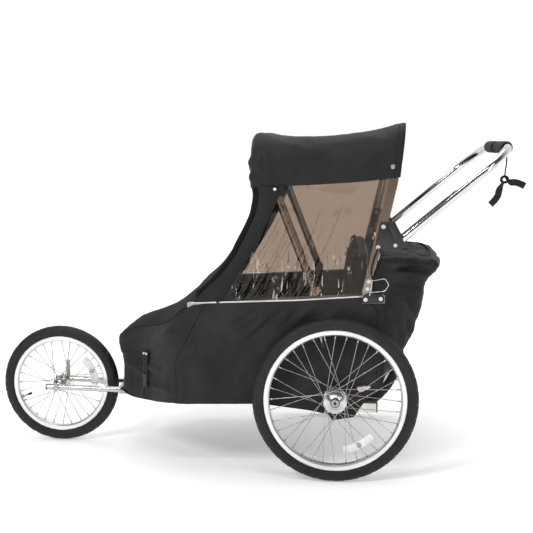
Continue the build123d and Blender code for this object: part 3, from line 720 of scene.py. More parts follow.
def wheel_details(prefix, centre, bead, count, flange_y, flange_r, valve_at,
                  reflector_at, face):
    """Nipples, spoke heads, valve, rim rings and the face of the hub."""
    inner = bead - 10.0
    cross = math.radians(58)
    nipples, heads = Parts(), Parts()
    for k in range(count):
        side = 1 if k % 2 else -1
        leading = k % 4 < 2
        rim_angle = 2 * math.pi * k / count
        hub_angle = rim_angle + (cross if leading else -cross)
        hub_y = side * (flange_y - 2.4 if leading else flange_y + 5.4)
        foot = Vector(round_about(centre, flange_r, hub_angle, hub_y))
        top = Vector(round_about(centre, inner - 0.5, rim_angle, side * 3.0))
        inward = (foot - top).normalized()
        path = [top - inward * 2, top + inward * 9, top + inward * 13]
        nipples.add(tube_shape(path, [2.1, 2.0, 1.3], 8))
        outward = side * (3.6 if leading else -0.2)
        spot = (foot.x, centre[1] + side * (flange_y + 3.0), foot.z)
        profile = [(0, 2.6), (side * 1.2, 2.4), (side * 2.0, 1.3), (side * 2.2, 0.2)]
        heads.add(lathe_shape(profile, spot, 10))
        heads.add(tube_shape([tuple(foot), (foot.x, foot.y + outward * 0.4, foot.z)], 1.1, 6))
    nipples.piece(prefix + "_nipples", "bolt", prefix, "spoke")
    heads.piece(prefix + "_spoke_heads", "steel", prefix, "hub")

    rings = Parts()
    for side in (-1, 1):
        for r, wide in ((bead + 4.6, 0.9), (bead - 4.6, 0.7)):
            profile = [(side * 13.4, r - wide), (side * 14.2, r - wide * 0.5),
                       (side * 14.2, r + wide * 0.5), (side * 13.4, r + wide)]
            rings.add(ring_shape(profile, centre, 96))
    rings.piece(prefix + "_rim_ridges", "rim", prefix, "rim")

    angle = math.radians(valve_at)
    stem, cap = Parts(), Parts()
    out = [round_about(centre, r, angle, 0.0) for r in (inner + 3, inner - 4, inner - 22)]
    stem.add(tube_shape(out, [4.6, 3.4, 3.0], 14))
    nut = [round_about(centre, r, angle, 0.0) for r in (inner + 1, inner - 2.5)]
    stem.add(tube_shape(nut, 5.6, 6))
    stem.piece(prefix + "_valve", "steel", prefix, "steel")
    cap_line = [round_about(centre, r, angle, 0.0)
                for r in (inner - 20, inner - 22, inner - 30, inner - 33)]
    cap.add(tube_shape(cap_line, [4.0, 4.2, 4.0, 2.6], 12))
    cap.piece(prefix + "_valve_cap", "black_plastic", prefix, "black_plastic")

    radius, middle = reflector_at
    length, wide, thick = 98.0, 24.0, 2.9
    half = length / 2 / radius
    rows = []
    for i in range(41):
        share = -1 + i / 20
        turn = math.radians(middle) + share * half
        pinch = math.sqrt(max(0.0, 1 - max(0.0, abs(share) - 0.9) ** 2 / 0.01 * 0.7))
        ring = []
        for along, lift in ((-0.5, -0.6), (-0.5, 0.6), (-0.42, 1.0), (0.0, 1.08), (0.42, 1.0),
                            (0.5, 0.6), (0.5, -0.6), (0.42, -1.0), (0.0, -1.08),
                            (-0.42, -1.0)):
            prism = 0.35 if (i % 2 and abs(along) < 0.45) else 0.0
            ring.append(round_about(centre, radius + along * wide * pinch, turn,
                                    lift * thick * (1 if abs(share) < 0.98 else 0.7)
                                    - math.copysign(prism, lift)))
        rows.append(ring)
    lens = one_piece(capped(rows), prefix + "_reflector_lens", "reflector", prefix, "reflector")
    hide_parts(prefix + "_reflector")
    spot = round_about(centre, radius, math.radians(middle), 0.0)
    badge = Parts()
    for side in (-1, 1):
        ring = [(side * 2.6, 7.4), (side * 4.0, 7.0), (side * 4.0, 5.0), (side * 2.6, 4.6)]
        badge.add(ring_shape(ring, spot, 24))
        badge.add(lathe_shape([(side * 2.6, 2.6), (side * 3.9, 2.2), (side * 4.2, 0.2)], spot,
                              16))
    badge.piece(prefix + "_reflector_boss", "steel", prefix, "reflector")

    plate = Parts()
    for side in (-1, 1):
        plate.add(lathe_shape([(side * a, r) for a, r in face], centre, 48, ends=False))
    return plate


REAR_FACE = ((26.5, 33.0), (27.6, 31.0), (27.4, 22.5), (29.0, 21.5), (31.0, 17.0), (32.6, 15.0),
             (33.2, 12.0), (32.8, 10.6), (31.0, 10.2))
for side, label in SIDES:
    prefix = "wheel_" + label
    centre = (0.0, side * TRACK, REAR_AXLE)
    tyre(prefix + "_tyre_tread", prefix, centre, 203.0, 36)
    plate = wheel_details(prefix, centre, 203.0, 36, 22, 30, 103, (151, -62), REAR_FACE)
    plate.piece(prefix + "_hub_face", "hub", prefix, "hub")
    dark = Parts()
    for out in (-1, 1):
        dark.add(ring_shape([(out * 32.2, 14.6), (out * 33.9, 14.2), (out * 33.9, 12.2),
                             (out * 32.2, 11.8)], centre, 40))
    dark.piece(prefix + "_bearing_seals", "black_plastic", prefix, "black_plastic")

front_centre = (FRONT_X, 0.0, FRONT_AXLE)
tyre("front_wheel_tyre_tread", "front_wheel", front_centre, 152.5, 28)
FRONT_FACE = ((32.2, 21.0), (33.0, 19.0), (33.0, 13.0), (36.0, 11.5), (47.0, 10.6), (50.4, 9.6),
              (50.6, 6.0))
plate = wheel_details("front_wheel", front_centre, 152.5, 28, 28, 19, 200, (112, 22),
                      FRONT_FACE)
plate.piece("front_wheel_hub_face", "hub", "front_wheel", "hub")

# ---- tub fabric -----------------------------------------------------------------------
PIPING_LINE = ((-470, 516.0), (-388, 517.5), (-283, 521.5), (-106, 529.0), (66, 541.0),
               (84, 541.0), (142, 525.0))
WALL_TOP = ((-694, 378), (-687, 387), (-667, 400), (-643, 408), (-628, 413), (-603, 417),
            (-566, 427), (-525, 442), (-501, 455), (-481, 468), (-463, 488), (-446, 501),
            (-425, 512), (-386, 517.5))
BOTTOM_LINE = ((-694, 207), (-676, 205), (-655, 192), (-637, 187), (-597, 188), (-553, 194),
               (-520, 203), (-489, 210), (-403, 213), (-249, 216), (-197, 214), (-79, 200),
               (-20, 190), (-9, 170), (56, 182), (87, 229), (126, 259), (142, 277))
BAND_LINE = ((-694, 337), (-644, 337), (-594, 335), (-529, 340), (-478, 343), (-427, 337),
             (-360, 331), (-302, 329), (-200, 322), (142, 305))
NOSE_PLAN = ((-386, 321), (-425, 321), (-455, 318.5), (-482, 309), (-510, 285), (-540, 247),
             (-575, 204), (-610, 172), (-645, 155), (-674, 147), (-690, 128), (-693, 60),
             (-693, 0))
NOSE_FRONT = ((200, 677), (300, 676), (322, 679), (335, 687), (357, 694), (372, 693), (389, 688))
SEAM_TOP, SEAM_LOW = (-386.0, 517.0), (-476.0, 345.0)


def seam_x(z):
    """Where the side panel is sewn to the nose, at a height."""
    share = (z - SEAM_LOW[1]) / (SEAM_TOP[1] - SEAM_LOW[1])
    return SEAM_LOW[0] + max(0.0, share) * (SEAM_TOP[0] - SEAM_LOW[0])


def wall_top(x):
    """Upper edge of the tub: the piping, then the rim of the nose."""
    return line_at(PIPING_LINE, x) if x > -386 else line_at(WALL_TOP, x)


SIDE_FOLDS = ((-163, 519, -296, 400, 11, 5.0), (-215, 515, -372, 446, 10, 5.0),
              (-250, 514, -400, 470, 9, 4.0), (-116, 522, -190, 440, 12, 4.0),
              (-302, 470, -410, 380, 16, 4.5), (-53, 528, -130, 462, 13, 3.5),
              (-179, 516, -332, 425, 9, 4.0), (-290, 516, -420, 492, 8, 3.5),
              (-80, 500, -215, 380, 22, 3.5), (20, 520, -60, 440, 16, 3.0),
              (-330, 330, -150, 318, 9, 2.5), (60, 480, 120, 330, 15, 3.0),
              (-20, 420, 60, 300, 20, 2.5), (-250, 300, -120, 214, 18, 2.5))


def height_share(x, z):
    """How far up the wall of the tub a point is, from 0 to 1."""
    low = line_at(BOTTOM_LINE, x)
    return min(max((z - low) / (wall_top(x) - low), 0.0), 1.0)


def hem(x, z, height):
    """The doubled cloth below the band line, with a soft upper edge."""
    return height / (1 + math.exp((z - line_at(BAND_LINE, x)) / 3.0))


def side_offset(x, z):
    """How far the side panel stands out of its flat plane."""
    share = height_share(x, z)
    hold = min(1.0, (1 - share) * 6) * min(1.0, share * 9 + 0.1)
    hold *= min(1.0, max(0.0, (112 - x) / 60) + 0.15)
    bulge = 3.0 * math.sin(math.pi * share)
    near_axle = math.hypot(x, z - REAR_AXLE)
    calm = min(1.0, max(0.15, (near_axle - 40) / 60))
    folds = creases(x, z, SIDE_FOLDS) + ripple(x, 0, z, 70.0, 2.0) + ripple(x, 9, z, 26.0, 0.6)
    return min(10.5, max(0.0, (2.3 * folds * calm + bulge) * hold) + hem(x, z, 1.4) * hold)


plan_line = smooth_line([(x, y, 0) for x, y in NOSE_PLAN], 120)


def plan_y(x):
    """Half width of the tub at a place along it."""
    if x > -425:
        return 321.0
    near = min(range(len(plan_line) - 1), key=lambda k: abs(plan_line[k].x - x))
    return plan_line[near].y


def on_side(side, x, z, lift=0.0):
    """A point on the side panel, raised off its face by lift."""
    return (x, side * (plan_y(x) + lift + side_offset(x, z)), z)


def cut_out(rows, keep):
    """A grid with only the faces whose middle passes keep(x, y, z)."""
    points, faces = grid(rows)
    return points, [face for face in faces
                    if keep(*(sum(points[i][n] for i in face) / 4 for n in range(3)))]


AXLE_HOLE = 21.0            # radius of the opening for the rear axle, mm
for side, label in SIDES:
    rows = []
    for j in range(71):
        row = []
        for i in range(131):
            u, v = i / 130, j / 70
            x = SEAM_LOW[0] + (142 - SEAM_LOW[0]) * u
            for _ in range(3):
                top, low = wall_top(x), line_at(BOTTOM_LINE, x)
                z = low + (top - low) * v
                x = seam_x(z) + (142 - seam_x(z)) * u
            row.append(on_side(side, x, z))
        rows.append(row)
    panel = one_piece(cut_out(rows, lambda x, y, z: math.hypot(x, z - REAR_AXLE) > AXLE_HOLE),
                      f"side_fabric_{label}", "fabric", "chassis", "fabric")
    thicken(panel, 1.3)
    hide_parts(f"side_panel_{label}")

    seams = Parts()
    for shift in (-3.0, 3.0):
        line = []
        for k in range(60):
            z = 345 + (512 - 345) * k / 59
            x = seam_x(z) + 8 + shift
            line.append(on_side(side, x, z, 1.0))
        seams.add(stitch_shape(line, (0, side, 0)))
        line = []
        for k in range(130):
            x = -470 + (138 + 470) * k / 129
            z = line_at(BAND_LINE, x) + 4 + shift
            if math.hypot(x, z - REAR_AXLE) > 40:
                line.append(on_side(side, x, z, 1.2))
        seams.add(stitch_shape(line, (0, side, 0)))
    seams.piece(f"side_stitching_{label}", "thread", "chassis", "fabric")
    tape = []
    for k in range(70):
        z = 346 + (514 - 346) * k / 69
        x = seam_x(z) + 8
        tape.append(on_side(side, x, z, 0.6))
    tape = Parts().add(strip_shape(tape, 13.0, 0.9, (0, side, 0)))
    tape.piece(f"side_seam_tape_{label}", "fabric", "chassis", "fabric")

# The nose: a wall that runs round from one side seam to the other.
rows = []
for j in range(57):
    v = j / 56
    half_row = []
    for k in range(95):
        share = k / 94
        x = -430.0
        for _ in range(3):
            z = line_at(BOTTOM_LINE, x) + (wall_top(x) - line_at(BOTTOM_LINE, x)) * v
            start = seam_x(z)
            first = next(i for i, p in enumerate(plan_line) if p.x < start)
            place = first - 0.5 + (len(plan_line) - 0.5 - first) * share
            low_index = min(int(place), len(plan_line) - 2)
            point = plan_line[low_index].lerp(plan_line[low_index + 1], place - low_index)
            x = start if k == 0 else point.x
        y = plan_y(start) if k == 0 else point.y
        bulge = eased(-600, -690, x) * (693 - line_at(NOSE_FRONT, z))
        half_row.append((x + bulge, y, z))
    rows.append(half_row)

NOSE_FOLDS = ((-500, 470, -660, 380, 10, 4.0), (-470, 440, -600, 350, 14, 4.0),
              (-480, 400, -560, 340, 12, 3.0), (-520, 300, -660, 292, 12, 3.0),
              (-560, 260, -670, 300, 10, 3.0), (-450, 500, -520, 420, 9, 3.0),
              (-590, 410, -690, 372, 8, 2.5), (-500, 250, -600, 232, 9, 2.5))


def push_out(rows, amount):
    """Move grid points along their own normals; amount(x, y, z) in millimetres."""
    result = []
    for j, row in enumerate(rows):
        moved = []
        for i, p in enumerate(row):
            a = Vector(row[min(i + 1, len(row) - 1)]) - Vector(row[max(i - 1, 0)])
            b = Vector(rows[min(j + 1, len(rows) - 1)][i]) - Vector(rows[max(j - 1, 0)][i])
            normal = a.cross(b)
            normal = normal.normalized() if normal.length > 1e-9 else Vector((0, 0, 0))
            moved.append(tuple(Vector(p) + normal * amount(*p)))
        result.append(moved)
    return result


def relieve(rows, relief):
    """Move a sheet outwards by relief(x, y, z), whichever way its rows run."""
    test = push_out([row[:3] for row in rows[:3]], lambda *p: 1.0)
    outward = 1.0 if test[1][1][1] < rows[1][1][1] else -1.0
    return push_out(rows, lambda x, y, z: outward * relief(x, y, z))


full = []
for row in rows:
    left = [(x, -y, z) for x, y, z in row]
    full.append(left + [(x, y, z) for x, y, z in reversed(row[:-1])])


def nose_relief(x, y, z):
    share = height_share(x, z)
    hold = min(1.0, (1 - share) * 8) * min(1.0, share * 8 + 0.15)
    hold *= min(1.0, max(0.0, (seam_x(z) - x) / 30))
    fold = creases(x, z, NOSE_FOLDS) * (1 if abs(y) > 60 else 0.4)
    waves = ripple(x, y, z, 60.0, 3.4) + ripple(x, y, z, 22.0, 1.2)
    return hold * (2.2 * fold + waves + hem(x, z, 1.5))


full = relieve(full, nose_relief)
nose = one_piece(grid(full), "nose_fabric", "fabric", "chassis", "fabric")
thicken(nose, 1.4)
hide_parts("nose_panel")
nose_top = full[-1]

# Front screen: from the canopy's front edge down over the nose, between the side strips; an opaque
# sheet whose near-black colour is partly black mesh and partly painted shade of the inside of the
# nose behind it.
SCREEN_SIDE = ((-252, 868), (-246, 838), (-254, 789), (-271, 748), (-296, 698), (-316, 660),
               (-354, 610))
FRONT_EDGE = (*SCREEN_SIDE, (-392, 572), (-417, 551))
SCREEN_MIDDLE = ((-691, 380), (-680, 388), (-652, 409), (-601, 430), (-545, 449), (-508, 473),
                 (-462, 512), (-417, 551))
COVER_FRONT = (*SCREEN_SIDE, (-388, 572), (-408, 544), (-424, 521.5))
WINDOW_FRONT = ((-166, 862), (-176, 838), (-203, 777), (-233, 716), (-262, 666), (-295, 612),
                (-324, 557), (-340, 537), (-352, 525))


def along(points, count):
    return [(p.x, p.y) for p in smooth_line([(x, z, 0) for x, z in points], count)]


front_line = along(FRONT_EDGE, 60)
cover_line = along(COVER_FRONT, 60)
window_line = along(WINDOW_FRONT, 60)
SCREEN_BAND = 19.0
for side, label in SIDES:
    rows = []
    for (fx, fz), (wx, wz) in zip(cover_line, window_line):
        row = []
        edge = fx + SCREEN_BAND * eased(516, 600, fz)
        for k in range(15):
            t = k / 14
            x, z = wx + (edge - wx) * t, wz + (fz - wz) * t
            y = 322.8 + 3.0 * math.sin(math.pi * t) + ripple(x, side, z, 45.0, 1.8)
            row.append((x, side * y, z))
        rows.append(row)
    strip = one_piece(grid(rows), f"front_cover_{label}", "canopy", "chassis", "fabric")
    thicken(strip, 1.3)
    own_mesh(strip)

rows = []
for fx, fz in front_line:
    reach = SCREEN_BAND * eased(516, 600, fz) + 12
    half_row = [(fx + reach, 321.5, fz), (fx + reach * 0.5, 320.5, fz),
                (fx + reach * 0.15, 314, fz), (fx, 303, fz)]
    row = [(x, -y, z) for x, y, z in half_row]
    for k in range(1, 36):
        t = -1 + k / 18
        bow = 11 * (1 - t * t)
        row.append((fx - bow + ripple(fx, t * 300, fz, 60.0, 2.0), t * 303, fz - bow * 0.2))
    row += list(reversed(half_row))
    rows.append(row)
rim = [p for p in nose_top if p[1] < -20 and p[0] < -395]
for x, y, z in rim[::2]:
    if x > -417:
        continue
    half = -y - 0.5
    rise = max(2.0, line_at(SCREEN_MIDDLE, x) - z)
    row = []
    for k in range(43):
        t = -1 + k / 21
        dome = 1 - abs(t) ** 2.6
        row.append((x, t * half, z + rise * dome + ripple(x, t * half, z, 40.0, 1.6) * dome))
    rows.append(row)
screen = one_piece(grid(rows), "front_screen", "mesh", "chassis", "mesh")
thicken(screen, 1.0)
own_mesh(screen)
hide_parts("front_cover")

# Belly: the lining under the tub and the low pocket behind the axle.
rows = []
for i in range(110):
    x = -688 + (142 + 688) * i / 109
    z = line_at(BOTTOM_LINE, x) + 1.5
    row = []
    for k in range(45):
        s = -1 + k / 22
        y = s * (plan_y(x) - 2.0)
        sag = 5.0 * math.sin(math.pi * (k / 44)) if x < -20 else 2.0 * math.sin(math.pi * k / 44)
        row.append((x, y, z - sag * 0.6 + ripple(x, y, z, 50.0, 1.4) * min(1.0, (1 - abs(s)) * 8)))
    rows.append(row)
belly = one_piece(cut_out(rows, lambda x, y, z: not (-6 < x < 134 and abs(y + 250) < 19)),
                  "belly_fabric", "trunk", "chassis", "fabric")
thicken(belly, 1.4)
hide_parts("belly_panel")

# ---- canopy ---------------------------------------------------------------------------
TOP_LINE = ((-262, 1006), (-246, 1016), (-232, 1020), (-212, 1018), (-185, 1011.5), (-140, 1008),
            (-70, 1008), (-6, 1012.5), (56, 1019), (120, 1031), (160, 1043.5), (182, 1048),
            (202, 1045))
CANOPY_LOW = ((-262, 861), (-176, 861), (-159, 864.5), (-86, 869), (-5, 873.5), (76, 879.5),
              (132, 886), (190, 893))
CANOPY_FOLDS = ((-190, 1000, -30, 960, 10, 2.5), (-150, 960, 40, 930, 12, 2.5),
                (-60, 990, 130, 1010, 10, 2.0), (0, 930, 150, 905, 10, 2.0),
                (-205, 980, -196, 870, 7, 4.0), (-225, 960, -222, 880, 7, 4.0),
                (80, 1010, 170, 990, 12, 2.0), (-120, 900, 60, 884, 9, 2.0))
HALF_WIDTH = 323.6
CORNER = 78.0


def hoop_row(x_front, inset, top, low, bump=0.0, count=97):
    """Points from the left lower edge over the top to the right lower edge."""
    half = HALF_WIDTH - inset
    top -= inset
    corner = max(20.0, CORNER - inset * 0.4)
    outline = [(-half, low), (-half, top - corner)]
    outline += [(-half + corner * (1 - math.cos(t)), top - corner + corner * math.sin(t))
                for t in np.linspace(0, math.pi / 2, 12)[1:]]
    outline += [(-x, z) for x, z in reversed(outline[1:])] + [(half, low)]
    lengths = [0.0]
    for a, b in zip(outline, outline[1:]):
        lengths.append(lengths[-1] + math.hypot(b[0] - a[0], b[1] - a[1]))
    row = []
    for k in range(count):
        goal = lengths[-1] * k / (count - 1)
        y = np.interp(goal, lengths, [p[0] for p in outline])
        z = np.interp(goal, lengths, [p[1] for p in outline])
        row.append((x_front(z), float(y), float(z)))
    return row


def rear_edge(z):
    return 182 + (z - 892) * 0.105


rows = []
for i in range(64):
    u = i / 63
    x = 186 + (-228 - 186) * u
    low, top = line_at(CANOPY_LOW, x), line_at(TOP_LINE, x)
    rows.append(hoop_row(lambda z, u=u: rear_edge(z) + (-228 - rear_edge(z)) * u, 0, top, low))
for turn in np.linspace(0.15, 1.0, 7):
    angle = turn * math.pi / 2
    inset = 26 * (1 - math.cos(angle))
    x = -228 - 25 * math.sin(angle)
    rows.append(hoop_row(lambda z, x=x: x, inset, line_at(TOP_LINE, x + 8), 861))


def canopy_relief(x, y, z):
    side = eased(240, 322, abs(y))
    fold = creases(x, z, CANOPY_FOLDS) * side
    inward = -3.0 * math.sin(math.pi * min(max((x + 228) / 414, 0), 1)) * side
    rolled = 0.0
    if x < -225:
        rolled = 6.0 * math.exp(-((z - 934) / 12) ** 2) + 5.0 * math.exp(-((z - 890) / 11) ** 2)
        rolled -= 4.0 * math.exp(-((z - 912) / 8) ** 2)
    waves = ripple(x, y, z, 80.0, 3.0) + ripple(x, y, z, 28.0, 1.2)
    hold = min(1.0, abs(z - line_at(CANOPY_LOW, x)) / 12 + 0.2)
    return (1.8 * fold + inward + rolled + waves) * hold


wide = relieve(rows, canopy_relief)
canopy = Parts().add(grid(wide))
start_row = wide[-1]
front_rows = [start_row]
for share in np.linspace(0.1, 1.0, 14):
    keep = 1 - share
    ring = []
    for x, y, z in start_row:
        zz = 861.0 + (z - 861.0) * keep
        yy = y * keep
        bulge = 5.0 * math.sin(math.pi * share) + 3.0 * math.sin(zz / 11.0)
        ring.append((x - bulge * min(1.0, share * 4) * 0.6, yy, zz))
    front_rows.append(ring)
canopy.add(grid(front_rows))
canopy = canopy.piece("canopy_cloth", "canopy", "rear_hoop", "fabric")
thicken(canopy, 1.4)
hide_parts("canopy")

binding = Parts()
band_rows = []
for i, row in enumerate(wide[:4]):
    band_rows.append([(x + (0.6 if i == 0 else 0.0), y * 1.0045,
                       z + (1.4 if abs(y) < 250 else 0.6)) for x, y, z in row])
binding.add(grid(band_rows))
binding = binding.piece("canopy_binding", "binding", "rear_hoop", "fabric")
thicken(binding, 1.2)
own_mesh(canopy)
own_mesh(binding)

rows = []
for j in range(30):
    z = 702 + (990 - 702) * j / 29
    x = line_at(((700, 124), (850, 160), (994, 171)), z)
    row = []
    for k in range(41):
        s = -1 + k / 20
        sag = 6 * (1 - s * s) * math.sin(math.pi * j / 29)
        row.append((x + sag + ripple(z, s * 90, 3, 30, 1.2), s * 275, z))
    rows.append(row)
rear_screen = one_piece(grid(rows), "rear_screen_cloth", "window", "rear_hoop", "window")
thicken(rear_screen, 0.5)
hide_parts("rear_screen")

# ---- windows --------------------------------------------------------------------------
WINDOW_LOW = ((-356, 519), (-283, 523.5), (-106, 531), (66, 543.5), (100, 560))
WINDOW_REAR = ((100, 560), (120, 647), (153, 770), (181, 896))
WINDOW_TOP = ((-166, 866), (-86, 872), (76, 883), (181, 896))


def window_relief(x, z, u, v):
    """Vinyl film: vertical gathers that fade upwards, and a few slack waves."""
    gather = (1 - v) ** 1.6
    waves = 0.0
    for k, (place, width, height) in enumerate(GATHERS):
        lean = place + v * 0.10 * math.sin(k * 2.1)
        waves += height * math.exp(-((u - lean) / width) ** 2)
    slack = 2.4 * math.sin(7 * u + 3 * v) * math.sin(math.pi * v)
    top = 2.0 * math.sin(26 * v + 5 * u) * math.exp(-((v - 0.86) / 0.1) ** 2)
    calm = min(1.0, max(0.0, (60 - x) / 40))
    edge = min(1.0, 12 * u + 0.1) * min(1.0, 14 * v + 0.1) * min(1.0, 10 * (1 - v) + 0.1)
    return (1.5 * waves * gather + slack + top) * calm * edge


GATHERS = [(random.uniform(0.02, 0.72), random.uniform(0.004, 0.014), random.uniform(-2.0, 5.0))
           for _ in range(46)]
low_line, high_line = along(WINDOW_LOW, 150), along(WINDOW_TOP, 150)
front_side, rear_side = along(tuple(reversed(WINDOW_FRONT)), 60), along(WINDOW_REAR, 60)
for side, label in SIDES:
    rows = []
    for j in range(60):
        v = j / 59
        row = []
        for i in range(150):
            u = i / 149
            bottom, top = low_line[i], high_line[i]
            front, rear = front_side[j], rear_side[j]
            corner = [(1 - u) * (1 - v), u * (1 - v), (1 - u) * v, u * v]
            ends = [low_line[0], low_line[-1], high_line[0], high_line[-1]]
            x, z = (bottom[n] * (1 - v) + top[n] * v + front[n] * (1 - u) + rear[n] * u
                    - sum(c * e[n] for c, e in zip(corner, ends)) for n in (0, 1))
            row.append((x, side * (321.9 + max(-0.4, window_relief(x, z, u, v))), z))
        rows.append(row)
    film = one_piece(grid(rows), f"window_film_{label}", "window", "chassis", "window")
    thicken(film, 0.5)
    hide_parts(f"window_{label}")
    edge = [(x - 3, side * 323.4, z) for x, z in window_line]
    edge = Parts().add(strip_shape(edge, 22.0, 1.6, (0, side, 0)))
    edge = edge.piece(f"window_binding_{label}", "binding", "chassis", "fabric")
    for item in (film, edge):
        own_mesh(item)

# ---- trunk ----------------------------------------------------------------------------
TRUNK_REAR = ((258, 128), (276, 145), (292, 152), (325, 177), (378, 206), (427, 233), (470, 250),
              (499, 257), (531, 263), (560, 266), (575, 270), (592, 283), (606, 298),
              (622, 307), (636, 308), (645, 300), (651, 280))
POST_REAR = ((278, 120), (500, 120), (530, 94), (560, 99), (600, 107), (650, 121), (700, 136))
TRUNK_FOLDS = ((140, 640, 300, 634, 6, 4.0), (130, 630, 290, 612, 7, -5.0),
               (160, 612, 280, 600, 8, 5.0), (150, 668, 270, 676, 6, 4.5),
               (170, 585, 262, 560, 10, -4.0), (160, 560, 240, 470, 14, 5.0),
               (205, 560, 250, 430, 12, -4.0), (150, 480, 215, 400, 14, 4.0),
               (150, 540, 200, 380, 10, -3.5), (150, 626, 220, 632, 5, 4.0),
               (150, 430, 190, 350, 10, 3.5), (200, 660, 296, 655, 5, -4.0))


def trunk_plan(rear, front, bulge):
    """Half of the bag's outline seen from above, from its front edge to the middle."""
    neck = min(rear - 8, 205)
    points = [(front, 321.6), (front + (neck - front) * 0.3, 318),
              (front + (neck - front) * 0.65, 296), (neck, 268)]
    corner = min(52.0, max(8.0, (rear - neck) * 0.9))
    points += [(max(neck + 2, rear - corner), 262), (rear - corner * 0.25, 250 - corner * 0.2),
               (rear, 252 - corner), (rear + 1 + bulge * 0.7, 120), (rear + 2 + bulge, 0)]
    return [(p.x, p.y) for p in smooth_line([(x, y, 0) for x, y in points], 66)]


rows = []
for j in range(80):
    z = 260 + (651 - 260) * j / 79
    rear = line_at(TRUNK_REAR, z)
    half = trunk_plan(rear, min(line_at(POST_REAR, z), rear - 22), 12 * eased(590, 626, z))
    row = [(x, -y, z) for x, y in half] + [(x, y, z) for x, y in reversed(half[:-1])]
    rows.append(row)


def trunk_relief(x, y, z):
    side = eased(150, 250, abs(y))
    fold = creases(x, z, TRUNK_FOLDS) * side * 1.9
    back = (1 - side) * (2.4 * math.sin(z / 13 + y / 70) * eased(560, 640, z)
                         + 3 * ripple(x, y, z, 90, 1.0))
    hold = min(1.0, max(0.0, (x - line_at(POST_REAR, z) - 3) / 22)) * min(1.0, (655 - z) / 10)
    hold *= 1.0 - 0.75 * eased(160, 130, x)
    return hold * (fold + back + ripple(x, y, z, 46.0, 3.6) + ripple(x, y, z * 2.2, 20.0, 1.4))


trunk = one_piece(grid(relieve(rows, trunk_relief)), "trunk_cloth", "trunk", "chassis", "fabric")
thicken(trunk, 1.4)
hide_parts("trunk_bag")

LID_LINE = ((128, 650), (176, 651), (200, 651), (235, 650), (262, 649), (284, 645), (298, 636),
            (303, 625))
rows = []
for x, z in along(LID_LINE, 40):
    row = []
    for k in range(69):
        s = -1 + k / 34
        edge = eased(0.9, 1.0, abs(s))
        droop = 15 * edge * (1 - 0.8 * eased(270, 298, x))
        half = 262 + 3 * edge + 24 * eased(215, 130, x) - 22 * eased(268, 302, x)
        back = 1.5 * edge + 12 * (1 - s * s) * eased(250, 298, x)
        folds = ripple(x, s * 260, 5, 34.0, 7.0) * (1 - 0.7 * eased(0.8, 1.0, abs(s)))
        row.append((x + back, s * half,
                    z - droop + folds + ripple(x * 1.8, s * 260, 15, 20.0, 2.6)))
    rows.append(row)
lid = one_piece(grid(rows), "trunk_lid_cloth", "trunk", "trunk_lid", "fabric")
thicken(lid, 1.4)
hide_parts("trunk_lid")

# ---- seat -----------------------------------------------------------------------------
def cushion(name, low, high, lean, cap, squeeze):
    """A padded form: rounded box, swollen by a short cloth simulation, then sewn channels."""
    mesh = bpy.data.meshes.new(name)
    made = bmesh.new()
    bmesh.ops.create_cube(made, size=1.0)
    low, high = Vector(low), Vector(high)
    for v in made.verts:
        v.co = Vector(((v.co.x + 0.5) * (high.x - low.x) + low.x,
                       (v.co.y + 0.5) * (high.y - low.y) + low.y,
                       (v.co.z + 0.5) * (high.z - low.z) + low.z))
    bmesh.ops.bevel(made, geom=made.edges[:], offset=min(high - low) * 0.34, segments=3,
                    profile=0.6, affect="EDGES")
    for v in made.verts:
        x = v.co.x + lean * (v.co.z - low.z)
        v.co = at(x, v.co.y, v.co.z)
    made.to_mesh(mesh)
    made.free()
    piece = bpy.data.objects.new(name, mesh)
    scene.collection.objects.link(piece)
    remesh = piece.modifiers.new("remesh", "REMESH")
    remesh.mode = "VOXEL"
    remesh.voxel_size = 0.0065
    settle(piece)
    rest = np.array([v.co for v in piece.data.vertices])
    swell = piece.modifiers.new("swell", "CLOTH")
    swell.settings.use_pressure = True
    swell.settings.uniform_pressure_force = 4.0
    swell.settings.effector_weights.gravity = 0.0
    swell.settings.quality = 4
    scene.frame_start, scene.frame_end = 1, 20
    swell.point_cache.frame_start, swell.point_cache.frame_end = 1, 20
    for number in range(1, 21):
        scene.frame_set(number)
    settle(piece)
    scene.frame_set(1)
    moved = np.array([v.co for v in piece.data.vertices])
    step = moved - rest
    size = np.linalg.norm(step, axis=1)
    limit = cap / 1000
    step *= np.minimum(1.0, limit / np.maximum(size, 1e-9))[:, None]
    moved = rest + step
    for index, v in enumerate(piece.data.vertices):
        p = moved[index]
        x, y, z = (p[0] - AXLE_X) * 1000, p[1] * 1000, p[2] * 1000
        p = p + np.array(squeeze(x, y, z)) / 1000
        v.co = p
    return piece


def finish_cushion(piece, material, node, body):
    piece.data.materials.clear()
    piece.data.materials.append(MATERIALS[material])
    smoother = piece.modifiers.new("smooth", "SUBSURF")
    smoother.levels = smoother.render_levels = 1
    piece.data.shade_smooth()
    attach(piece, body)
    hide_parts(node)


BACK_LEAN = (60 - 16) / (683 - 306)


def back_channels(x, y, z):
    """The middle seam and the cross seams of the seat back pull its faces in."""
    front = x < 34 + (z - 306) * BACK_LEAN + 10
    pull = 6.0 * math.exp(-(y / 7) ** 2)
    for line in (400, 490, 580):
        pull += 4.0 * math.exp(-((z - line) / 6) ** 2)
    pull -= ripple(x, y * 0.8, z * 0.35, 22.0, 3.0) * eased(500, 640, z)
    return (pull if front else -pull * 0.5, 0, 0)


def seat_channels(x, y, z):
    """The same for the top of the seat cushion."""
    pull = 6.0 * math.exp(-(y / 7) ** 2)
    for line in (-160, -40):
        pull += 4.0 * math.exp(-((x - line) / 6) ** 2)
    return (0, 0, -pull if z > 290 else 0)


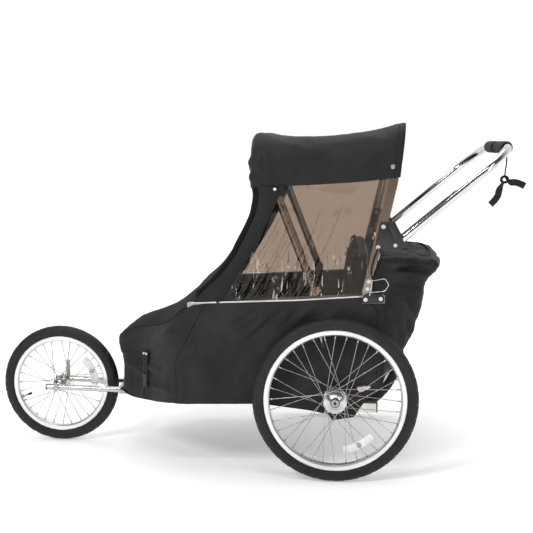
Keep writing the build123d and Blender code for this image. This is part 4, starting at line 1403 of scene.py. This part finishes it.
back = cushion("seat_back_pad", (22, -268, 309), (50, 268, 679), BACK_LEAN, 12, back_channels)
finish_cushion(back, "seat_fabric", "seat_back", "chassis")
base = cushion("seat_cushion_pad", (-208, -268, 272), (8, 268, 300), 0.0, 12, seat_channels)
finish_cushion(base, "seat_fabric", "seat_cushion", "chassis")

harness = Parts()
pads = Parts()
for middle in (-136, 136):
    for side in (-1, 1):
        y = middle + side * 58
        line = smooth_line([(64, y - side * 6, 672), (50, y - side * 4, 668), (44, y, 640),
                            (30, y, 540), (16, y - side * 20, 440), (6, y - side * 40, 404)], 46)
        harness.add(strip_shape(line, 25.0, 1.8, (-1, 0, 0.12)))
        pads.add(strip_shape(line[8:30], 42.0, 7.0, (-1, 0, 0.12)))
        lap_strap = smooth_line([(20, y + side * 10, 330), (4, y, 338),
                                 (2, y - side * 30, 370), (4, y - side * 44, 396)], 26)
        harness.add(strip_shape(lap_strap, 25.0, 1.8, (-1, 0, 0.3)))
    crotch = smooth_line([(-60, middle, 306), (-40, middle, 316), (-18, middle, 346),
                          (0, middle, 384)], 26)
    harness.add(strip_shape(crotch, 25.0, 1.8, (-1, 0, 0.8)))
harness = harness.piece("harness_webbing", "webbing", "chassis", "webbing")
pads = pads.piece("shoulder_pads", "seat_fabric", "chassis", "seat_fabric")
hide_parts("harness_straps")

# ---- brackets, pins and small trim ----------------------------------------------------
HANDLE_OUTLINE = ((112, 691), (128, 764), (170, 761), (188, 727), (196, 703), (190, 680),
                  (178, 673), (134, 676))
RIB_OUTLINE = ((148, 757), (163, 757), (180, 716), (168, 708))
FOLD_OUTLINE = ((76, 524), (141, 527), (141, 549), (101, 559), (80, 551))
for side, label in SIDES:
    face_y = side * 328.3
    cover = Parts().add(slab_shape(rounded(HANDLE_OUTLINE, 12), side * 326.0, side * 329.6, 1.6))
    cover.add(slab_shape(rounded(RIB_OUTLINE, 7), face_y, side * 333.0, 2.2))
    cover.piece(f"handle_bracket_cover_{label}", "black_plastic", "rear_hoop", "black_plastic")
    cover = Parts().add(slab_shape(rounded(FOLD_OUTLINE, 8), side * 326.0, side * 329.4, 1.4))
    cover.piece(f"fold_bracket_cover_{label}", "black_plastic", "chassis", "black_plastic")
    tether = smooth_line([(121, side * 334, 688), (112, side * 335, 660), (104, side * 334, 630),
                          (103, side * 334, 608), (108, side * 335, 600), (118, side * 335, 606),
                          (128, side * 334, 632), (131, side * 335, 660), (124, side * 334, 686)],
                         60)
    tether = Parts().add(webbing_shape([tuple(p) for p in tether], 9.0, 1.6, lambda s: 0.2))
    tether = tether.piece(f"lock_tether_{label}", "webbing", "chassis", "webbing")
    tab = Parts().add(slab_shape(rounded(((-168, 868), (-150, 868), (-153, 837), (-166, 837)), 3),
                                 side * 324.0, side * 326.5, 0.8))
    tab = tab.piece(f"canopy_tab_{label}", "binding", "rear_hoop", "fabric")
    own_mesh(tab)
    ball = Parts().add(lathe_shape([(-5, 0.5), (-4, 3.6), (0, 5.0), (4, 3.6), (5, 0.5)],
                                   (-180, side * 325.5, 857), 20))
    ball = ball.piece(f"screen_snap_{label}", "piping", "chassis", "piping")
    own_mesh(ball)

    # Strap, rivets and hook on the cheek of the nose.
    near, far = plan_y(-576), plan_y(-592)
    sideways = Vector((16.0, side * (near - far), 0)).normalized()
    out = Vector((-side * sideways.y, side * sideways.x, 0))
    out = out if out.y * side > 0 else -out
    spot = Vector((-584, side * plan_y(-584), 0)) + out * 9.0
    strap_path = [(spot.x, spot.y, z) for z in np.linspace(344, 262, 20)]
    cheek = Parts().add(strip_shape(strap_path, 25.0, 2.2, tuple(out)))
    cheek.piece(f"nose_strap_{label}", "webbing", "chassis", "webbing")
    hook = Parts()
    for (a0, b0), (a1, b1), wide, thick in (((276, 0), (226, 1), 22.0, 5.0),
                                            ((236, 3), (206, 12), 9.0, 6.0)):
        line = []
        for k in range(12):
            t = k / 11
            p = spot + out * (2 + b0 + (b1 - b0) * t)
            line.append((p.x, p.y, a0 + (a1 - a0) * t))
        hook.add(strip_shape(line, wide, thick, tuple(out)))
    hook.piece(f"nose_hook_{label}", "black_plastic", "chassis", "black_plastic")
    rivets = Parts()
    for shift in (-6.5, 6.5):
        p = spot + sideways * shift + out * 2.0
        dome = []
        for along_out, r in ((0.0, 4.4), (1.2, 4.2), (2.2, 2.8), (2.8, 0.4)):
            ring = []
            for k in range(16):
                turn = 2 * math.pi * k / 16
                q = p + out * along_out + sideways * (r * math.cos(turn))
                ring.append((q.x, q.y, 339 + r * math.sin(turn)))
            dome.append(ring)
        rivets.add(capped(dome))
    rivets.piece(f"nose_rivets_{label}", "piping", "chassis", "bolt")
    gusset = Parts().add(slab_shape(rounded(((62, 278), (106, 279), (103, 272), (74, 258),
                                             (66, 264)), 3), side * 325.5, side * 328.5, 0.8))
    gusset.piece(f"frame_gusset_{label}", "tube_silver", "chassis", "tube_silver")
    cap = Parts().add(tube_shape([(-945, side * 62, 193.2), (-948, side * 62, 193.2),
                                  (-950, side * 62, 193.2)], [10.2, 10.2, 8.0], 24))
    cap.piece(f"fork_arm_cap_{label}", "black_plastic", "chassis", "black_plastic")

# ---- side sheets looked up, bounds of the shown pieces --------------------------------
for side, label in SIDES:
    panel = bpy.data.objects[f"side_fabric_{label}"]

low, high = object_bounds()
